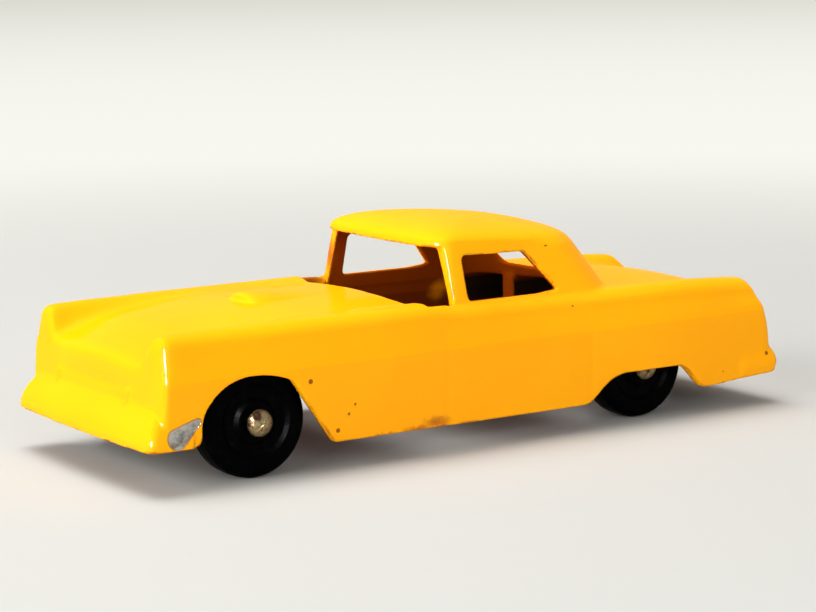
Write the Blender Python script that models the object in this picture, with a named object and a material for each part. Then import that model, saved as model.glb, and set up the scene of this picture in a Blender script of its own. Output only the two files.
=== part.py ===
"""Small die-cast toy coupe: one hollow casting, two headed axle pins and four solid wheels.

Metres. +X is the front of the car, +Y its left side and +Z up. The wheels stand on Z = 0.
"""

import math

import bmesh
import bpy
from mathutils import Matrix, Vector

# Overall sizes
OVERALL_LENGTH = 0.0772
BODY_WIDTH = 0.0284
OVERALL_HEIGHT = 0.0221
WALL = 0.0010

# Wheels and axles
WHEEL_DIAMETER = 0.0111
WHEEL_WIDTH = 0.0034
WHEELBASE = 0.0473
FRONT_OVERHANG = 0.0127
AXLE_DIAMETER = 0.0018
HEAD_DIAMETER = 0.0027
HEAD_HEIGHT = 0.0008
FRONT_HEAD_INSET = 0.0002
AXLE_CLEARANCE = 0.0001
POST_GAP = 0.00015
HEAD_GAP = 0.0006
SKIRT_CLEARANCE = 0.0002
TYRE_ROUNDING = 0.0008
WHEEL_DISH_DEPTH = 0.0004
WHEEL_DISH_RADIUS = 0.0037
WHEEL_HUB_RADIUS = 0.0019

# Posts that hang from the casting and hold the axles
POST_THICKNESS = 0.0020
POST_WIDTH = 0.0080
POST_TOE = 0.0006
POST_ROUNDING = 0.8

# Lower body
FRONT_BUMPER_PROUD = 0.0015
REAR_BUMPER_PROUD = 0.0008
SKIRT_BOTTOM = 0.0010
SILL_HEIGHT = 0.00275
NOSE_HEIGHT = 0.0042
TAIL_HEIGHT = 0.0034
CREASE_HEIGHT = 0.0104
CREASE_RISE = 0.0007
CREASE_STEP = 0.0002
SILL_TUCK = 0.0005
TUMBLEHOME = 0.0007
SHOULDER_RADIUS = 0.0017
POD_WIDTH = 0.0051
POD_TOP = 0.0004
HOOD_CROWN = 0.0004
NOSE_NARROWING = 0.0001
TAIL_NARROWING = 0.0004
END_RADIUS = 0.00075
END_BLEND = 0.0070
NOSE_BOW = 0.0004
TAIL_BOW = 0.0002
NOSE_LEAN = 0.0008
TAIL_CURVE = 45.0
TAIL_CURVE_FROM = 0.0060

# Heights along the fender crest and along the middle of the hood and the deck
NOSE_CREST = 0.0148
COWL_CREST = 0.0149
BELT_CREST = 0.0146
FIN_FRONT_CREST = 0.0143
FIN_TAIL_CREST = 0.0137
HOOD_NOSE = 0.0120
HOOD_BREAK = 0.0142
HOOD_TOP = 0.0151
COWL_TOP = 0.0150
DECK_FRONT = 0.0145
DECK_BREAK = 0.0137
DECK_TAIL = 0.0120
HOOD_SLOPE_LENGTH = 0.0085
HOOD_TOP_LENGTH = 0.0200
DECK_SLOPE_LENGTH = 0.0075
DECK_TOP_LENGTH = 0.0135

# Cabin
COWL_SETBACK = 0.0318
COWL_BOW = 0.0005
COWL_BOW_POWER = 4
PILLAR_SETBACK = 0.0356
PILLAR_WIDTH = 0.0019
BELT_HEIGHT = 0.0146
HEADER_HEIGHT = 0.0200
ROOF_EDGE_HEIGHT = 0.0204
WINDOW_TOP = 0.0191
WINDOW_LENGTH = 0.0111
WINDOW_RAKE = 0.0034
WINDOW_FALL = 0.0002
WINDOW_TIP_LENGTH = 0.0026
WINDOW_TIP_RISE = 0.00025
CABIN_LENGTH = 0.0240
CABIN_BELT_INSET = 0.00175
CABIN_LEAN = 0.0017
CABIN_FRONT_RAKE = 0.0008
CABIN_REAR_RAKE = 0.0031
CABIN_FRONT_OVERHANG = 0.0023
CABIN_FRONT_RADIUS = 0.0022
CABIN_REAR_RADIUS = 0.0045
CABIN_FRONT_BOW = 0.0006
CABIN_REAR_BOW = 0.0012
ROOF_TILT = 0.066
ROOF_EDGE_FALL = 0.0010
ROOF_FULLNESS = 2.0
WINDSCREEN_RADIUS = 0.0010
REAR_WINDOW_BOTTOM = 0.0148
REAR_WINDOW_TOP = 0.0190
REAR_WINDOW_HALF = 0.0086
REAR_WINDOW_RAKE = 0.0010
REAR_WINDOW_RADIUS = 0.0012
WINDOW_RADIUS = 0.0004

# Wheel arches
FRONT_ARCH_RISE = 0.00475
FRONT_ARCH_LEAD = 0.0011
FRONT_ARCH_AHEAD = 0.00545
FRONT_ARCH_BEHIND = 0.0066
FRONT_ARCH_FOOT = 0.0090
REAR_ARCH_RISE = 0.00005
REAR_ARCH_AHEAD = 0.0054
REAR_ARCH_AHEAD_FOOT = 0.0085
REAR_ARCH_BEHIND = 0.0037
REAR_ARCH_BEHIND_FOOT = 0.0065
ARCH_FILLET = 0.0012

# Round pads inside, where pins push the casting out of its mould
PAD_DIAMETER = 0.0026
PAD_PROUD = 0.0004
PAD_SIDE = 0.0050
HOOD_PAD_SETBACK = 0.0230
DECK_PAD_LEAD = 0.0085

# Cast details on the outside
BUMPER_OVERHANG = 0.00015
FRONT_BUMPER_RADIUS = 0.0009
REAR_BUMPER_RADIUS = 0.0006
BUMPER_WRAP = 0.0052
FRONT_BUMPER_ROWS = (
    (0.0034, 0.0001), (0.0046, 0.0), (0.0056, 0.00025), (0.0068, 0.0007), (0.0077, 0.0011), (0.0086, 0.0015)
)
REAR_BUMPER_ROWS = (
    (0.0027, 0.0007), (0.0039, 0.0002), (0.0048, 0.0), (0.0058, 0.0002), (0.0066, 0.0007), (0.0073, 0.0013)
)
GUARD_SIDE = 0.0072
GUARD_HEIGHT = 0.0081
GUARD_RADII = (0.0007, 0.00055, 0.00125)
LAMP_SIDE = 0.0114
LAMP_HEIGHT = 0.0121
LAMP_RADII = (0.0006, 0.0016, 0.0016)
LAMP_PROUD = 0.0001
TAIL_LAMP_SIDE = 0.0118
TAIL_LAMP_HEIGHT = 0.0096
TAIL_LAMP_RADII = (0.0006, 0.0015, 0.0015)
GRILLE_HEIGHT = 0.0097
GRILLE_RADII = (0.0085, 0.0010)
GRILLE_DEPTH = 0.0002
SCOOP_SETBACK = 0.0174
SCOOP_LENGTH = 0.0075
SCOOP_HALF = 0.0023
SCOOP_RISE = 0.0009
SCOOP_BLUNTNESS = 1.5
SCOOP_MOUTH = 0.06

# Places that follow from the sizes
WHEEL_RADIUS = WHEEL_DIAMETER / 2
HALF_WIDTH = BODY_WIDTH / 2
FRONT_X = OVERALL_LENGTH / 2
NOSE_X = FRONT_X - FRONT_BUMPER_PROUD
TAIL_X = REAR_BUMPER_PROUD - OVERALL_LENGTH / 2
FRONT_AXLE_X = FRONT_X - FRONT_OVERHANG
REAR_AXLE_X = FRONT_AXLE_X - WHEELBASE
COWL_X = FRONT_X - COWL_SETBACK
PILLAR_X = FRONT_X - PILLAR_SETBACK
CABIN_FRONT_X = PILLAR_X + CABIN_FRONT_OVERHANG
FRONT_TIP_Y = HALF_WIDTH - FRONT_HEAD_INSET
REAR_TIP_Y = HALF_WIDTH - WALL - SKIRT_CLEARANCE
AXLE_HOLE_RADIUS = AXLE_DIAMETER / 2 + AXLE_CLEARANCE
CUT_MARGIN = 0.0040

# How finely curves are divided
STATION_SPACING = 0.0025
END_STEPS = 4
CORNER_STEPS = 4
CROSS_STEPS = 12
ROOF_STEPS = 6
ROUND_SEGMENTS = 32
PIN_SEGMENTS = 20
BOSS_SEGMENTS = 12
BOSS_RINGS = 8
ARCH_STEPS = 6
SHARP_ANGLE = math.radians(35)
MERGE_DISTANCE = 1e-7


class AxleLine:
    """One axle with its place along the car and everything that follows along its length."""

    def __init__(self, end, x, tip_y):
        """end names the axle, x is its place and tip_y the outermost point of its heads."""
        self.end = end
        self.x = x
        self.head_base = tip_y - HEAD_HEIGHT
        self.wheel_outer = self.head_base - HEAD_GAP
        self.wheel_inner = self.wheel_outer - WHEEL_WIDTH
        self.post_outer = self.wheel_inner - POST_GAP
        self.post_inner = self.post_outer - POST_THICKNESS


AXLE_LINES = (
    AxleLine("front", FRONT_AXLE_X, FRONT_TIP_Y),
    AxleLine("rear", REAR_AXLE_X, REAR_TIP_Y),
)


def clamp(value):
    """The value held between 0 and 1."""
    return max(0.0, min(1.0, value))


def ease(value):
    """A smooth rise from 0 to 1."""
    value = clamp(value)
    return value * value * (3 - 2 * value)


def blend(start, end, share):
    """The value that lies at this share of the way from start to end."""
    return start + (end - start) * share


def through(x, knots):
    """Height at x on a smooth curve through knots (x, height), given from rear to front."""
    if x <= knots[0][0]:
        return knots[0][1]
    if x >= knots[-1][0]:
        return knots[-1][1]
    slopes = [(b[1] - a[1]) / (b[0] - a[0]) for a, b in zip(knots, knots[1:])]
    tangents = [slopes[0]]
    for before, after in zip(slopes, slopes[1:]):
        tangents.append(0.0 if before * after <= 0 else 2 * before * after / (before + after))
    tangents.append(slopes[-1])
    index = next(i for i in range(len(slopes)) if x <= knots[i + 1][0])
    (x0, z0), (x1, z1) = knots[index], knots[index + 1]
    length = x1 - x0
    t = (x - x0) / length
    rise = (1 + 2 * t) * (1 - t) ** 2 * z0 + t * t * (3 - 2 * t) * z1
    bend = t * (1 - t) ** 2 * tangents[index] - t * t * (1 - t) * tangents[index + 1]
    return rise + bend * length


def half_width(x):
    """Half width of the body sides at a station, drawn in a little toward both ends."""
    ahead = clamp((x - FRONT_AXLE_X) / (NOSE_X - FRONT_AXLE_X))
    behind = clamp((REAR_AXLE_X - x) / (REAR_AXLE_X - TAIL_X))
    return HALF_WIDTH - NOSE_NARROWING * ahead**2 - TAIL_NARROWING * behind**2


def crest_height(x, hollow=False):
    """Height of the fender crest, which the hollow doesn't follow up into the headlamp pods."""
    knots = (
        (TAIL_X, FIN_TAIL_CREST),
        (TAIL_X + DECK_TOP_LENGTH, FIN_FRONT_CREST),
        (PILLAR_X, BELT_CREST),
        (COWL_X, COWL_CREST),
        (NOSE_X, NOSE_CREST),
    )
    crest = through(x, knots)
    return min(crest, middle_height(x)) if hollow else crest


def middle_height(x):
    """Height of the hood, the belt and the deck along the middle of the car."""
    knots = (
        (TAIL_X, DECK_TAIL),
        (TAIL_X + DECK_SLOPE_LENGTH, DECK_BREAK),
        (TAIL_X + DECK_TOP_LENGTH, DECK_FRONT),
        (COWL_X, COWL_TOP),
        (NOSE_X - HOOD_TOP_LENGTH, HOOD_TOP),
        (NOSE_X - HOOD_SLOPE_LENGTH, HOOD_BREAK),
        (NOSE_X, HOOD_NOSE),
    )
    return through(x, knots)


def top_height(x, y, inset=0.0, hollow=False):
    """Height of the upper surface of the body or of its hollow, inset by the given amount."""
    crest_y = half_width(x) - inset - TUMBLEHOME - SHOULDER_RADIUS - POD_TOP
    pod_y = half_width(x) - inset - POD_WIDTH
    across = min(1.0, abs(y) / pod_y)
    hood = middle_height(x) - HOOD_CROWN * across**2
    climb = ease((abs(y) - pod_y) / (crest_y - pod_y))
    return blend(hood, crest_height(x, hollow), climb) - inset


def section(x, inset, hollow):
    """Closed (y, z) outline across the body, from the left sill over the top to the right sill."""
    width = half_width(x) - inset
    crest = crest_height(x, hollow) - inset
    crest_y = width - TUMBLEHOME - SHOULDER_RADIUS
    half = [
        (width - SILL_TUCK, SKIRT_BOTTOM),
        (width - SILL_TUCK / 4, blend(SKIRT_BOTTOM, CREASE_HEIGHT, 0.5)),
        (width, CREASE_HEIGHT),
        (width - CREASE_STEP, CREASE_HEIGHT + CREASE_RISE),
    ]
    for step in range(CORNER_STEPS):
        angle = math.pi / 2 * step / CORNER_STEPS
        half.append(
            (
                crest_y + SHOULDER_RADIUS * math.cos(angle),
                crest - SHOULDER_RADIUS + SHOULDER_RADIUS * math.sin(angle),
            )
        )
    for step in range(CROSS_STEPS):
        y = crest_y * (1 - step / CROSS_STEPS)
        half.append((y, top_height(x, y, inset, hollow)))
    middle = [(0.0, top_height(x, 0.0, inset, hollow))]
    return half + middle + [(-y, z) for y, z in reversed(half)]


def leaned(x, y, z):
    """Station x moved for the bowed ends, the leaning nose and the raked tail."""
    ahead = clamp((x - NOSE_X + END_BLEND) / END_BLEND) ** 2
    behind = clamp((TAIL_X + END_BLEND - x) / END_BLEND) ** 2
    across = (y / HALF_WIDTH) ** 2
    lean = NOSE_LEAN * clamp((z - CREASE_HEIGHT / 2) / (NOSE_CREST - CREASE_HEIGHT / 2))
    rake = TAIL_CURVE * max(0.0, z - TAIL_CURVE_FROM) ** 2
    return x - ahead * (NOSE_BOW * across + lean) + behind * (TAIL_BOW * across + rake)


def body_stations(wall):
    """(x, inset) of each section, from the tail to the nose, with both ends rounded."""
    ends = []
    for step in range(END_STEPS + 1):
        angle = math.pi / 2 * (1 - step / END_STEPS)
        ends.append((END_RADIUS * (1 - math.sin(angle)), END_RADIUS * (1 - math.cos(angle))))
    tail = TAIL_X + wall
    nose = NOSE_X - wall
    length = nose - tail - 2 * END_RADIUS
    count = round(length / STATION_SPACING)
    stations = [(tail + setback, wall + inset) for setback, inset in ends]
    for step in range(1, count):
        stations.append((tail + END_RADIUS + length * step / count, wall))
    stations += [(nose - setback, wall + inset) for setback, inset in reversed(ends)]
    return stations


def body_rings(wall):
    """Rings of points for the lower body, or for its hollow when a wall is given."""
    rings = []
    for x, inset in body_stations(wall):
        rings.append([(leaned(x, y, z), y, z) for y, z in section(x, inset, wall > 0)])
    return rings


def cabin_ring(front, rear, half, height):
    """One level ring round the cabin; height(x) gives the ring's z along the car."""
    ring = []
    front_radius = min(CABIN_FRONT_RADIUS, half)
    rear_radius = min(CABIN_REAR_RADIUS, half, (front - rear) / 3)
    corners = (
        (front - front_radius, half - front_radius, front_radius, 0),
        (rear + rear_radius, half - rear_radius, rear_radius, 1),
        (rear + rear_radius, rear_radius - half, rear_radius, 2),
        (front - front_radius, front_radius - half, front_radius, 3),
    )
    middle = (front + rear) / 2
    for centre_x, centre_y, radius, quarter in corners:
        for step in range(CORNER_STEPS + 1):
            angle = math.pi / 2 * (quarter + step / CORNER_STEPS)
            x = centre_x + radius * math.cos(angle)
            y = centre_y + radius * math.sin(angle)
            bow = CABIN_FRONT_BOW if x > middle else -CABIN_REAR_BOW
            ring.append((x - bow * (y / half) ** 2 * abs(x - middle) / (front - middle), y, height(x)))
    return ring


def cabin_rings(wall):
    """Rings of points from under the belt to the crown of the roof, or for the cabin's hollow."""
    edge = ROOF_EDGE_HEIGHT - wall / 2
    foot = BELT_HEIGHT - CUT_MARGIN
    rings = []
    for level in (foot, BELT_HEIGHT, blend(BELT_HEIGHT, edge, 0.5), edge):
        share = (level - BELT_HEIGHT) / (ROOF_EDGE_HEIGHT - BELT_HEIGHT)
        front = CABIN_FRONT_X - CABIN_FRONT_RAKE * share - wall / 2
        rear = CABIN_FRONT_X - CABIN_LENGTH + CABIN_REAR_RAKE * share + wall
        half = HALF_WIDTH - CABIN_BELT_INSET - CABIN_LEAN * share - wall
        fall = ROOF_EDGE_FALL * clamp(share)

        def level_height(x, level=level, front=front, rear=rear, fall=fall):
            return level - fall * ease((front - x) / (front - rear))

        rings.append(cabin_ring(front, rear, half, level_height))
    centre = (front + rear) / 2
    for step in range(1, ROOF_STEPS + 1):
        scale = math.cos(math.pi / 2 * step / (ROOF_STEPS + 0.4))
        climb = (1 - scale**ROOF_FULLNESS) ** (1 / ROOF_FULLNESS)

        def roof_height(x, climb=climb):
            crown = OVERALL_HEIGHT - wall + ROOF_TILT * (x - centre)
            return blend(level_height(x), crown, climb)

        rings.append(
            cabin_ring(
                blend(centre, front, scale), blend(centre, rear, scale), half * scale, roof_height
            )
        )
    return rings


def bumper_rings(half, radius, bow, rows):
    """Rings of a bumper that faces +X: rows give each ring's height and how far it is set in."""
    back = FRONT_X - BUMPER_WRAP
    rings = []
    for z, inset in rows:
        face = FRONT_X - inset
        side = half - inset
        left = [(back, side)]
        for step in range(CORNER_STEPS + 1):
            angle = math.pi / 2 * step / CORNER_STEPS
            left.append(
                (
                    face - bow - radius + radius * math.sin(angle),
                    side - radius + radius * math.cos(angle),
                )
            )
        left.append((face - bow / 4, side / 2))
        plan = left + [(face, 0.0)] + [(x, -y) for x, y in reversed(left)]
        rings.append([(x, y, z) for x, y in plan])
    return rings


def scoop_rings():
    """Rings of the hood scoop, from its blunt front to its tail that runs out into the hood."""
    front = FRONT_X - SCOOP_SETBACK
    rings = []
    for step in range(END_STEPS * 2 + 1):
        share = step / (END_STEPS * 2)
        x = front - SCOOP_LENGTH * share**SCOOP_BLUNTNESS
        swell = math.sqrt(math.sin(math.pi * blend(SCOOP_MOUTH, 1 - SCOOP_MOUTH, math.sqrt(share))))
        base = middle_height(x) - WALL / 2
        top = SCOOP_RISE * swell * (1 - share**2) + WALL / 2
        ring = []
        for corner in range(2 * CORNER_STEPS + 1):
            angle = math.pi * corner / (2 * CORNER_STEPS)
            ring.append((x, SCOOP_HALF * swell * math.cos(angle), base + top * math.sin(angle)))
        rings.append(ring)
    return rings


def arc(centre, radii, start, end, steps):
    """Points on an ellipse from one angle to another, in degrees."""
    points = []
    for step in range(steps + 1):
        angle = math.radians(blend(start, end, step / steps))
        points.append(
            (centre[0] + radii[0] * math.cos(angle), centre[1] + radii[1] * math.sin(angle))
        )
    return points


def rounded(corners):
    """Outline through corners (a, b, radius), with an arc at each corner that has a radius."""
    outline = []
    for index, (a, b, radius) in enumerate(corners):
        corner = Vector((a, b))
        before = Vector(corners[index - 1][:2]) - corner
        after = Vector(corners[(index + 1) % len(corners)][:2]) - corner
        if radius == 0:
            outline.append((a, b))
            continue
        half_angle = before.angle(after) / 2
        reach = radius / math.tan(half_angle)
        centre = corner + (before.normalized() + after.normalized()).normalized() * (
            radius / math.sin(half_angle)
        )
        start = (corner + before.normalized() * reach - centre).normalized()
        end = (corner + after.normalized() * reach - centre).normalized()
        for step in range(CORNER_STEPS + 1):
            outline.append(tuple(centre + start.slerp(end, step / CORNER_STEPS) * radius))
    return outline


def skirt_outline():
    """Side view of everything under the body: both arches, the sills and the lifted ends."""
    front_arch = FRONT_AXLE_X + FRONT_ARCH_LEAD
    rear_arch = REAR_AXLE_X
    rear_top = WHEEL_RADIUS + REAR_ARCH_RISE
    below = -CUT_MARGIN
    middle = (front_arch, WHEEL_RADIUS)
    ahead = arc(middle, (FRONT_ARCH_AHEAD, FRONT_ARCH_RISE), 0, 90, ARCH_STEPS)
    behind = arc(middle, (FRONT_ARCH_BEHIND, FRONT_ARCH_RISE), 100, 150, CORNER_STEPS)
    corners = [
        (FRONT_X + CUT_MARGIN, below, 0),
        (FRONT_X + CUT_MARGIN, NOSE_HEIGHT, 0),
        (front_arch + FRONT_ARCH_AHEAD, NOSE_HEIGHT, ARCH_FILLET / 2),
    ]
    corners += [(x, z, 0) for x, z in ahead + behind]
    corners += [
        (front_arch - FRONT_ARCH_FOOT, SILL_HEIGHT, ARCH_FILLET / 2),
        (rear_arch + REAR_ARCH_AHEAD_FOOT, SILL_HEIGHT, ARCH_FILLET / 2),
        (rear_arch + REAR_ARCH_AHEAD, rear_top, 2 * ARCH_FILLET),
        (rear_arch - REAR_ARCH_BEHIND, rear_top, ARCH_FILLET),
        (rear_arch - REAR_ARCH_BEHIND_FOOT, SILL_HEIGHT, ARCH_FILLET),
        (-FRONT_X - CUT_MARGIN, TAIL_HEIGHT, 0),
        (-FRONT_X - CUT_MARGIN, below, 0),
    ]
    return rounded(corners)


def side_window_outline():
    """Side view of the open side windows."""
    front = PILLAR_X - PILLAR_WIDTH
    rear = front - WINDOW_LENGTH
    return rounded(
        [
            (front, BELT_HEIGHT, WINDOW_RADIUS),
            (front, WINDOW_TOP, WINDOW_RADIUS),
            (rear + WINDOW_RAKE, WINDOW_TOP - WINDOW_FALL, 2 * WINDOW_RADIUS),
            (rear, BELT_HEIGHT + WINDOW_TIP_RISE, WINDOW_RADIUS / 4),
            (rear + WINDOW_TIP_LENGTH, BELT_HEIGHT, WINDOW_RADIUS),
        ]
    )


def windscreen_outline():
    """Plan view of the open windscreen: a bowed cowl edge that wraps round to the pillars."""
    half = HALF_WIDTH - CABIN_BELT_INSET - WALL / 4
    bow = []
    for step in range(CROSS_STEPS + 1):
        y = blend(-half, half, step / CROSS_STEPS)
        radius = WINDSCREEN_RADIUS if step in (0, CROSS_STEPS) else 0
        bow.append((COWL_X - COWL_BOW * (y / half) ** COWL_BOW_POWER, y, radius))
    return rounded([(PILLAR_X, half, 0), (PILLAR_X, -half, 0)] + bow)


def rear_window_outline():
    """Rear view (y, z) of the open rear window."""
    top_half = REAR_WINDOW_HALF - REAR_WINDOW_RAKE
    return rounded(
        [
            (-REAR_WINDOW_HALF, REAR_WINDOW_BOTTOM, REAR_WINDOW_RADIUS),
            (REAR_WINDOW_HALF, REAR_WINDOW_BOTTOM, REAR_WINDOW_RADIUS),
            (top_half, REAR_WINDOW_TOP, REAR_WINDOW_RADIUS),
            (-top_half, REAR_WINDOW_TOP, REAR_WINDOW_RADIUS),
        ]
    )


def post_outline(line):
    """Side view of an axle post, from inside the hood or deck wall to its rounded toe."""
    side = POST_WIDTH / 2
    toe = WHEEL_RADIUS - AXLE_HOLE_RADIUS - POST_TOE
    ends = [(line.x + step, y) for step in (-side, side) for y in (line.post_inner, line.post_outer)]
    top = min(top_height(x, y) for x, y in ends) - WALL / 2
    return rounded(
        [
            (line.x - side, top, 0),
            (line.x - side, toe, side * POST_ROUNDING),
            (line.x + side, toe, side * POST_ROUNDING),
            (line.x + side, top, 0),
        ]
    )


def wheel_profile():
    """(y, radius) outline of a left wheel's section about its middle, once round from the bore."""
    bore = AXLE_HOLE_RADIUS
    outer = WHEEL_WIDTH / 2
    inner = -outer
    dish = outer - WHEEL_DISH_DEPTH
    tread = WHEEL_RADIUS / math.cos(math.pi / ROUND_SEGMENTS)
    round_off = TYRE_ROUNDING
    return (
        [
            (inner, bore),
            (outer, bore),
            (outer, WHEEL_HUB_RADIUS),
            (dish, WHEEL_HUB_RADIUS + WHEEL_DISH_DEPTH),
            (dish, WHEEL_DISH_RADIUS - WHEEL_DISH_DEPTH),
        ]
        + arc((outer - round_off, tread - round_off), (round_off, round_off), 0, 90, CORNER_STEPS)
        + arc((inner + round_off, tread - round_off), (round_off, round_off), 90, 180, CORNER_STEPS)
    )


def axle_profile(line):
    """(y, radius) outline of an axle, from the tip of one domed head to the other."""
    shaft = AXLE_DIAMETER / 2
    head = arc((line.head_base, 0.0), (HEAD_HEIGHT, HEAD_DIAMETER / 2), 90, 0, CORNER_STEPS)
    half = [(line.head_base, shaft)] + head
    return [(-y, radius) for y, radius in reversed(half)] + half


def material(name, colour, roughness, metallic):
    """A plain material for a sub-part."""
    made = bpy.data.materials.new(name)
    made.use_nodes = True
    shader = made.node_tree.nodes["Principled BSDF"]
    shader.inputs["Base Color"].default_value = (*colour, 1.0)
    shader.inputs["Roughness"].default_value = roughness
    shader.inputs["Metallic"].default_value = metallic
    return made


def finished(name, mesh, finish):
    """An object made from a closed bmesh, with its faces outward."""
    bmesh.ops.remove_doubles(mesh, verts=mesh.verts, dist=MERGE_DISTANCE)
    bmesh.ops.recalc_face_normals(mesh, faces=mesh.faces)
    if mesh.calc_volume(signed=True) < 0:
        bmesh.ops.reverse_faces(mesh, faces=mesh.faces)
    data = bpy.data.meshes.new(name)
    mesh.to_mesh(data)
    mesh.free()
    data.materials.append(finish)
    made = bpy.data.objects.new(name, data)
    bpy.context.scene.collection.objects.link(made)
    return made


def lofted(name, rings, finish):
    """A closed skin through rings of points, with both ends filled."""
    mesh = bmesh.new()
    loops = [[mesh.verts.new(point) for point in ring] for ring in rings]
    count = len(loops[0])
    for near, far in zip(loops, loops[1:]):
        for index in range(count):
            after = (index + 1) % count
            mesh.faces.new((near[index], near[after], far[after], far[index]))
    mesh.faces.new(loops[0])
    mesh.faces.new(loops[-1])
    return finished(name, mesh, finish)


def extruded(name, outline, place, start, end, finish):
    """A prism: place(point, depth) puts an outline point at a depth between start and end."""
    mesh = bmesh.new()
    face = mesh.faces.new([mesh.verts.new(place(point, start)) for point in outline])
    grown = bmesh.ops.extrude_face_region(mesh, geom=[face])
    travel = Vector(place(outline[0], end)) - Vector(place(outline[0], start))
    corners = [item for item in grown["geom"] if isinstance(item, bmesh.types.BMVert)]
    bmesh.ops.translate(mesh, verts=corners, vec=travel)
    return finished(name, mesh, finish)


def along_y(point, depth):
    """Places a side-view point."""
    return (point[0], depth, point[1])


def along_z(point, depth):
    """Places a plan-view point."""
    return (point[0], point[1], depth)


def along_x(point, depth):
    """Places a point of a view along the car."""
    return (depth, point[0], point[1])


def spun(name, profile, closed, segments, finish):
    """A turned solid about the Y axis; segments leave a flat face at the bottom."""
    mesh = bmesh.new()
    half_step = math.pi / segments
    corners = [mesh.verts.new((r * math.sin(half_step), y, r * math.cos(half_step))) for y, r in profile]
    edges = [mesh.edges.new(pair) for pair in zip(corners, corners[1:])]
    if closed:
        edges.append(mesh.edges.new((corners[-1], corners[0])))
    bmesh.ops.spin(
        mesh,
        geom=corners + edges,
        cent=(0, 0, 0),
        axis=(0, 1, 0),
        angle=2 * math.pi,
        steps=segments,
        use_merge=True,
    )
    return finished(name, mesh, finish)


def ellipsoid(name, centre, radii, finish):
    """A solid ellipsoid, with its poles at its front and back."""
    mesh = bmesh.new()
    stretch = Matrix.Diagonal((*radii, 1.0))
    place = Matrix.Translation(centre) @ stretch @ Matrix.Rotation(math.pi / 2, 4, "Y")
    bmesh.ops.create_uvsphere(
        mesh, u_segments=BOSS_SEGMENTS, v_segments=BOSS_RINGS, radius=1.0, matrix=place
    )
    return finished(name, mesh, finish)


def combine(target, helper, operation):
    """Joins a helper to the target, or cuts it away, and keeps the helper out of sight."""
    modifier = target.modifiers.new(helper.name, "BOOLEAN")
    modifier.object = helper
    modifier.operation = operation
    modifier.solver = "EXACT"
    helper.hide_render = True
    helper.display_type = "WIRE"


def smooth(item):
    """Shades the round faces smooth and keeps the real edges sharp."""
    item.data.shade_smooth()
    item.data.set_sharp_from_angle(angle=SHARP_ANGLE)


def pillar_outline():
    """Side view of the open space ahead of the roof pillars, under the front edge of the roof."""
    front = CABIN_FRONT_X + WALL
    return rounded(
        [
            (front, BELT_HEIGHT, 0),
            (front, HEADER_HEIGHT, 0),
            (PILLAR_X, HEADER_HEIGHT, 2 * WINDOW_RADIUS),
            (PILLAR_X, BELT_HEIGHT, 0),
        ]
    )


def grille_outline():
    """Front view (y, z) of the shallow oval grille recess."""
    return arc((0.0, GRILLE_HEIGHT), GRILLE_RADII, 0, 360, ROUND_SEGMENTS)[:-1]


def outer_details(finish):
    """The cast shapes that are joined to the outside of the body."""
    front_half = HALF_WIDTH + BUMPER_OVERHANG
    rear_half = front_half - TAIL_NARROWING / 2
    front = bumper_rings(front_half, FRONT_BUMPER_RADIUS, NOSE_BOW, FRONT_BUMPER_ROWS)
    rear = bumper_rings(rear_half, REAR_BUMPER_RADIUS, TAIL_BOW, REAR_BUMPER_ROWS)
    pieces = [
        lofted("front_bumper", front, finish),
        lofted("rear_bumper", [[(-x, y, z) for x, y, z in ring] for ring in rear], finish),
        lofted("hood_scoop", scoop_rings(), finish),
    ]
    guard_x = leaned(NOSE_X, GUARD_SIDE, GUARD_HEIGHT) + GUARD_RADII[0] / 2
    lamp_x = leaned(NOSE_X, LAMP_SIDE, LAMP_HEIGHT) + LAMP_PROUD - LAMP_RADII[0]
    tail_x = leaned(TAIL_X, TAIL_LAMP_SIDE, TAIL_LAMP_HEIGHT) - LAMP_PROUD + TAIL_LAMP_RADII[0]
    for side in (1, -1):
        guard = (guard_x, side * GUARD_SIDE, GUARD_HEIGHT)
        lamp = (lamp_x, side * LAMP_SIDE, LAMP_HEIGHT)
        tail_lamp = (tail_x, side * TAIL_LAMP_SIDE, TAIL_LAMP_HEIGHT)
        pieces.append(ellipsoid("bumper_guard", guard, GUARD_RADII, finish))
        pieces.append(ellipsoid("headlamp", lamp, LAMP_RADII, finish))
        pieces.append(ellipsoid("tail_lamp", tail_lamp, TAIL_LAMP_RADII, finish))
    return pieces


def openings(finish):
    """Cutters for the hollow inside, the windows, the arches and the grille recess."""
    reach = HALF_WIDTH + CUT_MARGIN
    opening_foot = BELT_HEIGHT - CUT_MARGIN / 2
    grille_back = leaned(NOSE_X, 0.0, GRILLE_HEIGHT) - GRILLE_DEPTH
    grille_front = FRONT_X + CUT_MARGIN
    rear_window_front = PILLAR_X - CABIN_LENGTH / 2
    return [
        lofted("hollow", body_rings(WALL), finish),
        lofted("cabin_hollow", cabin_rings(WALL), finish),
        extruded("skirt", skirt_outline(), along_y, -reach, reach, finish),
        extruded("side_windows", side_window_outline(), along_y, -reach, reach, finish),
        extruded("windscreen", windscreen_outline(), along_z, opening_foot, HEADER_HEIGHT, finish),
        extruded("pillar_front", pillar_outline(), along_y, -reach, reach, finish),
        extruded("rear_window", rear_window_outline(), along_x, TAIL_X, rear_window_front, finish),
        extruded("grille", grille_outline(), along_x, grille_back, grille_front, finish),
    ]


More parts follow.
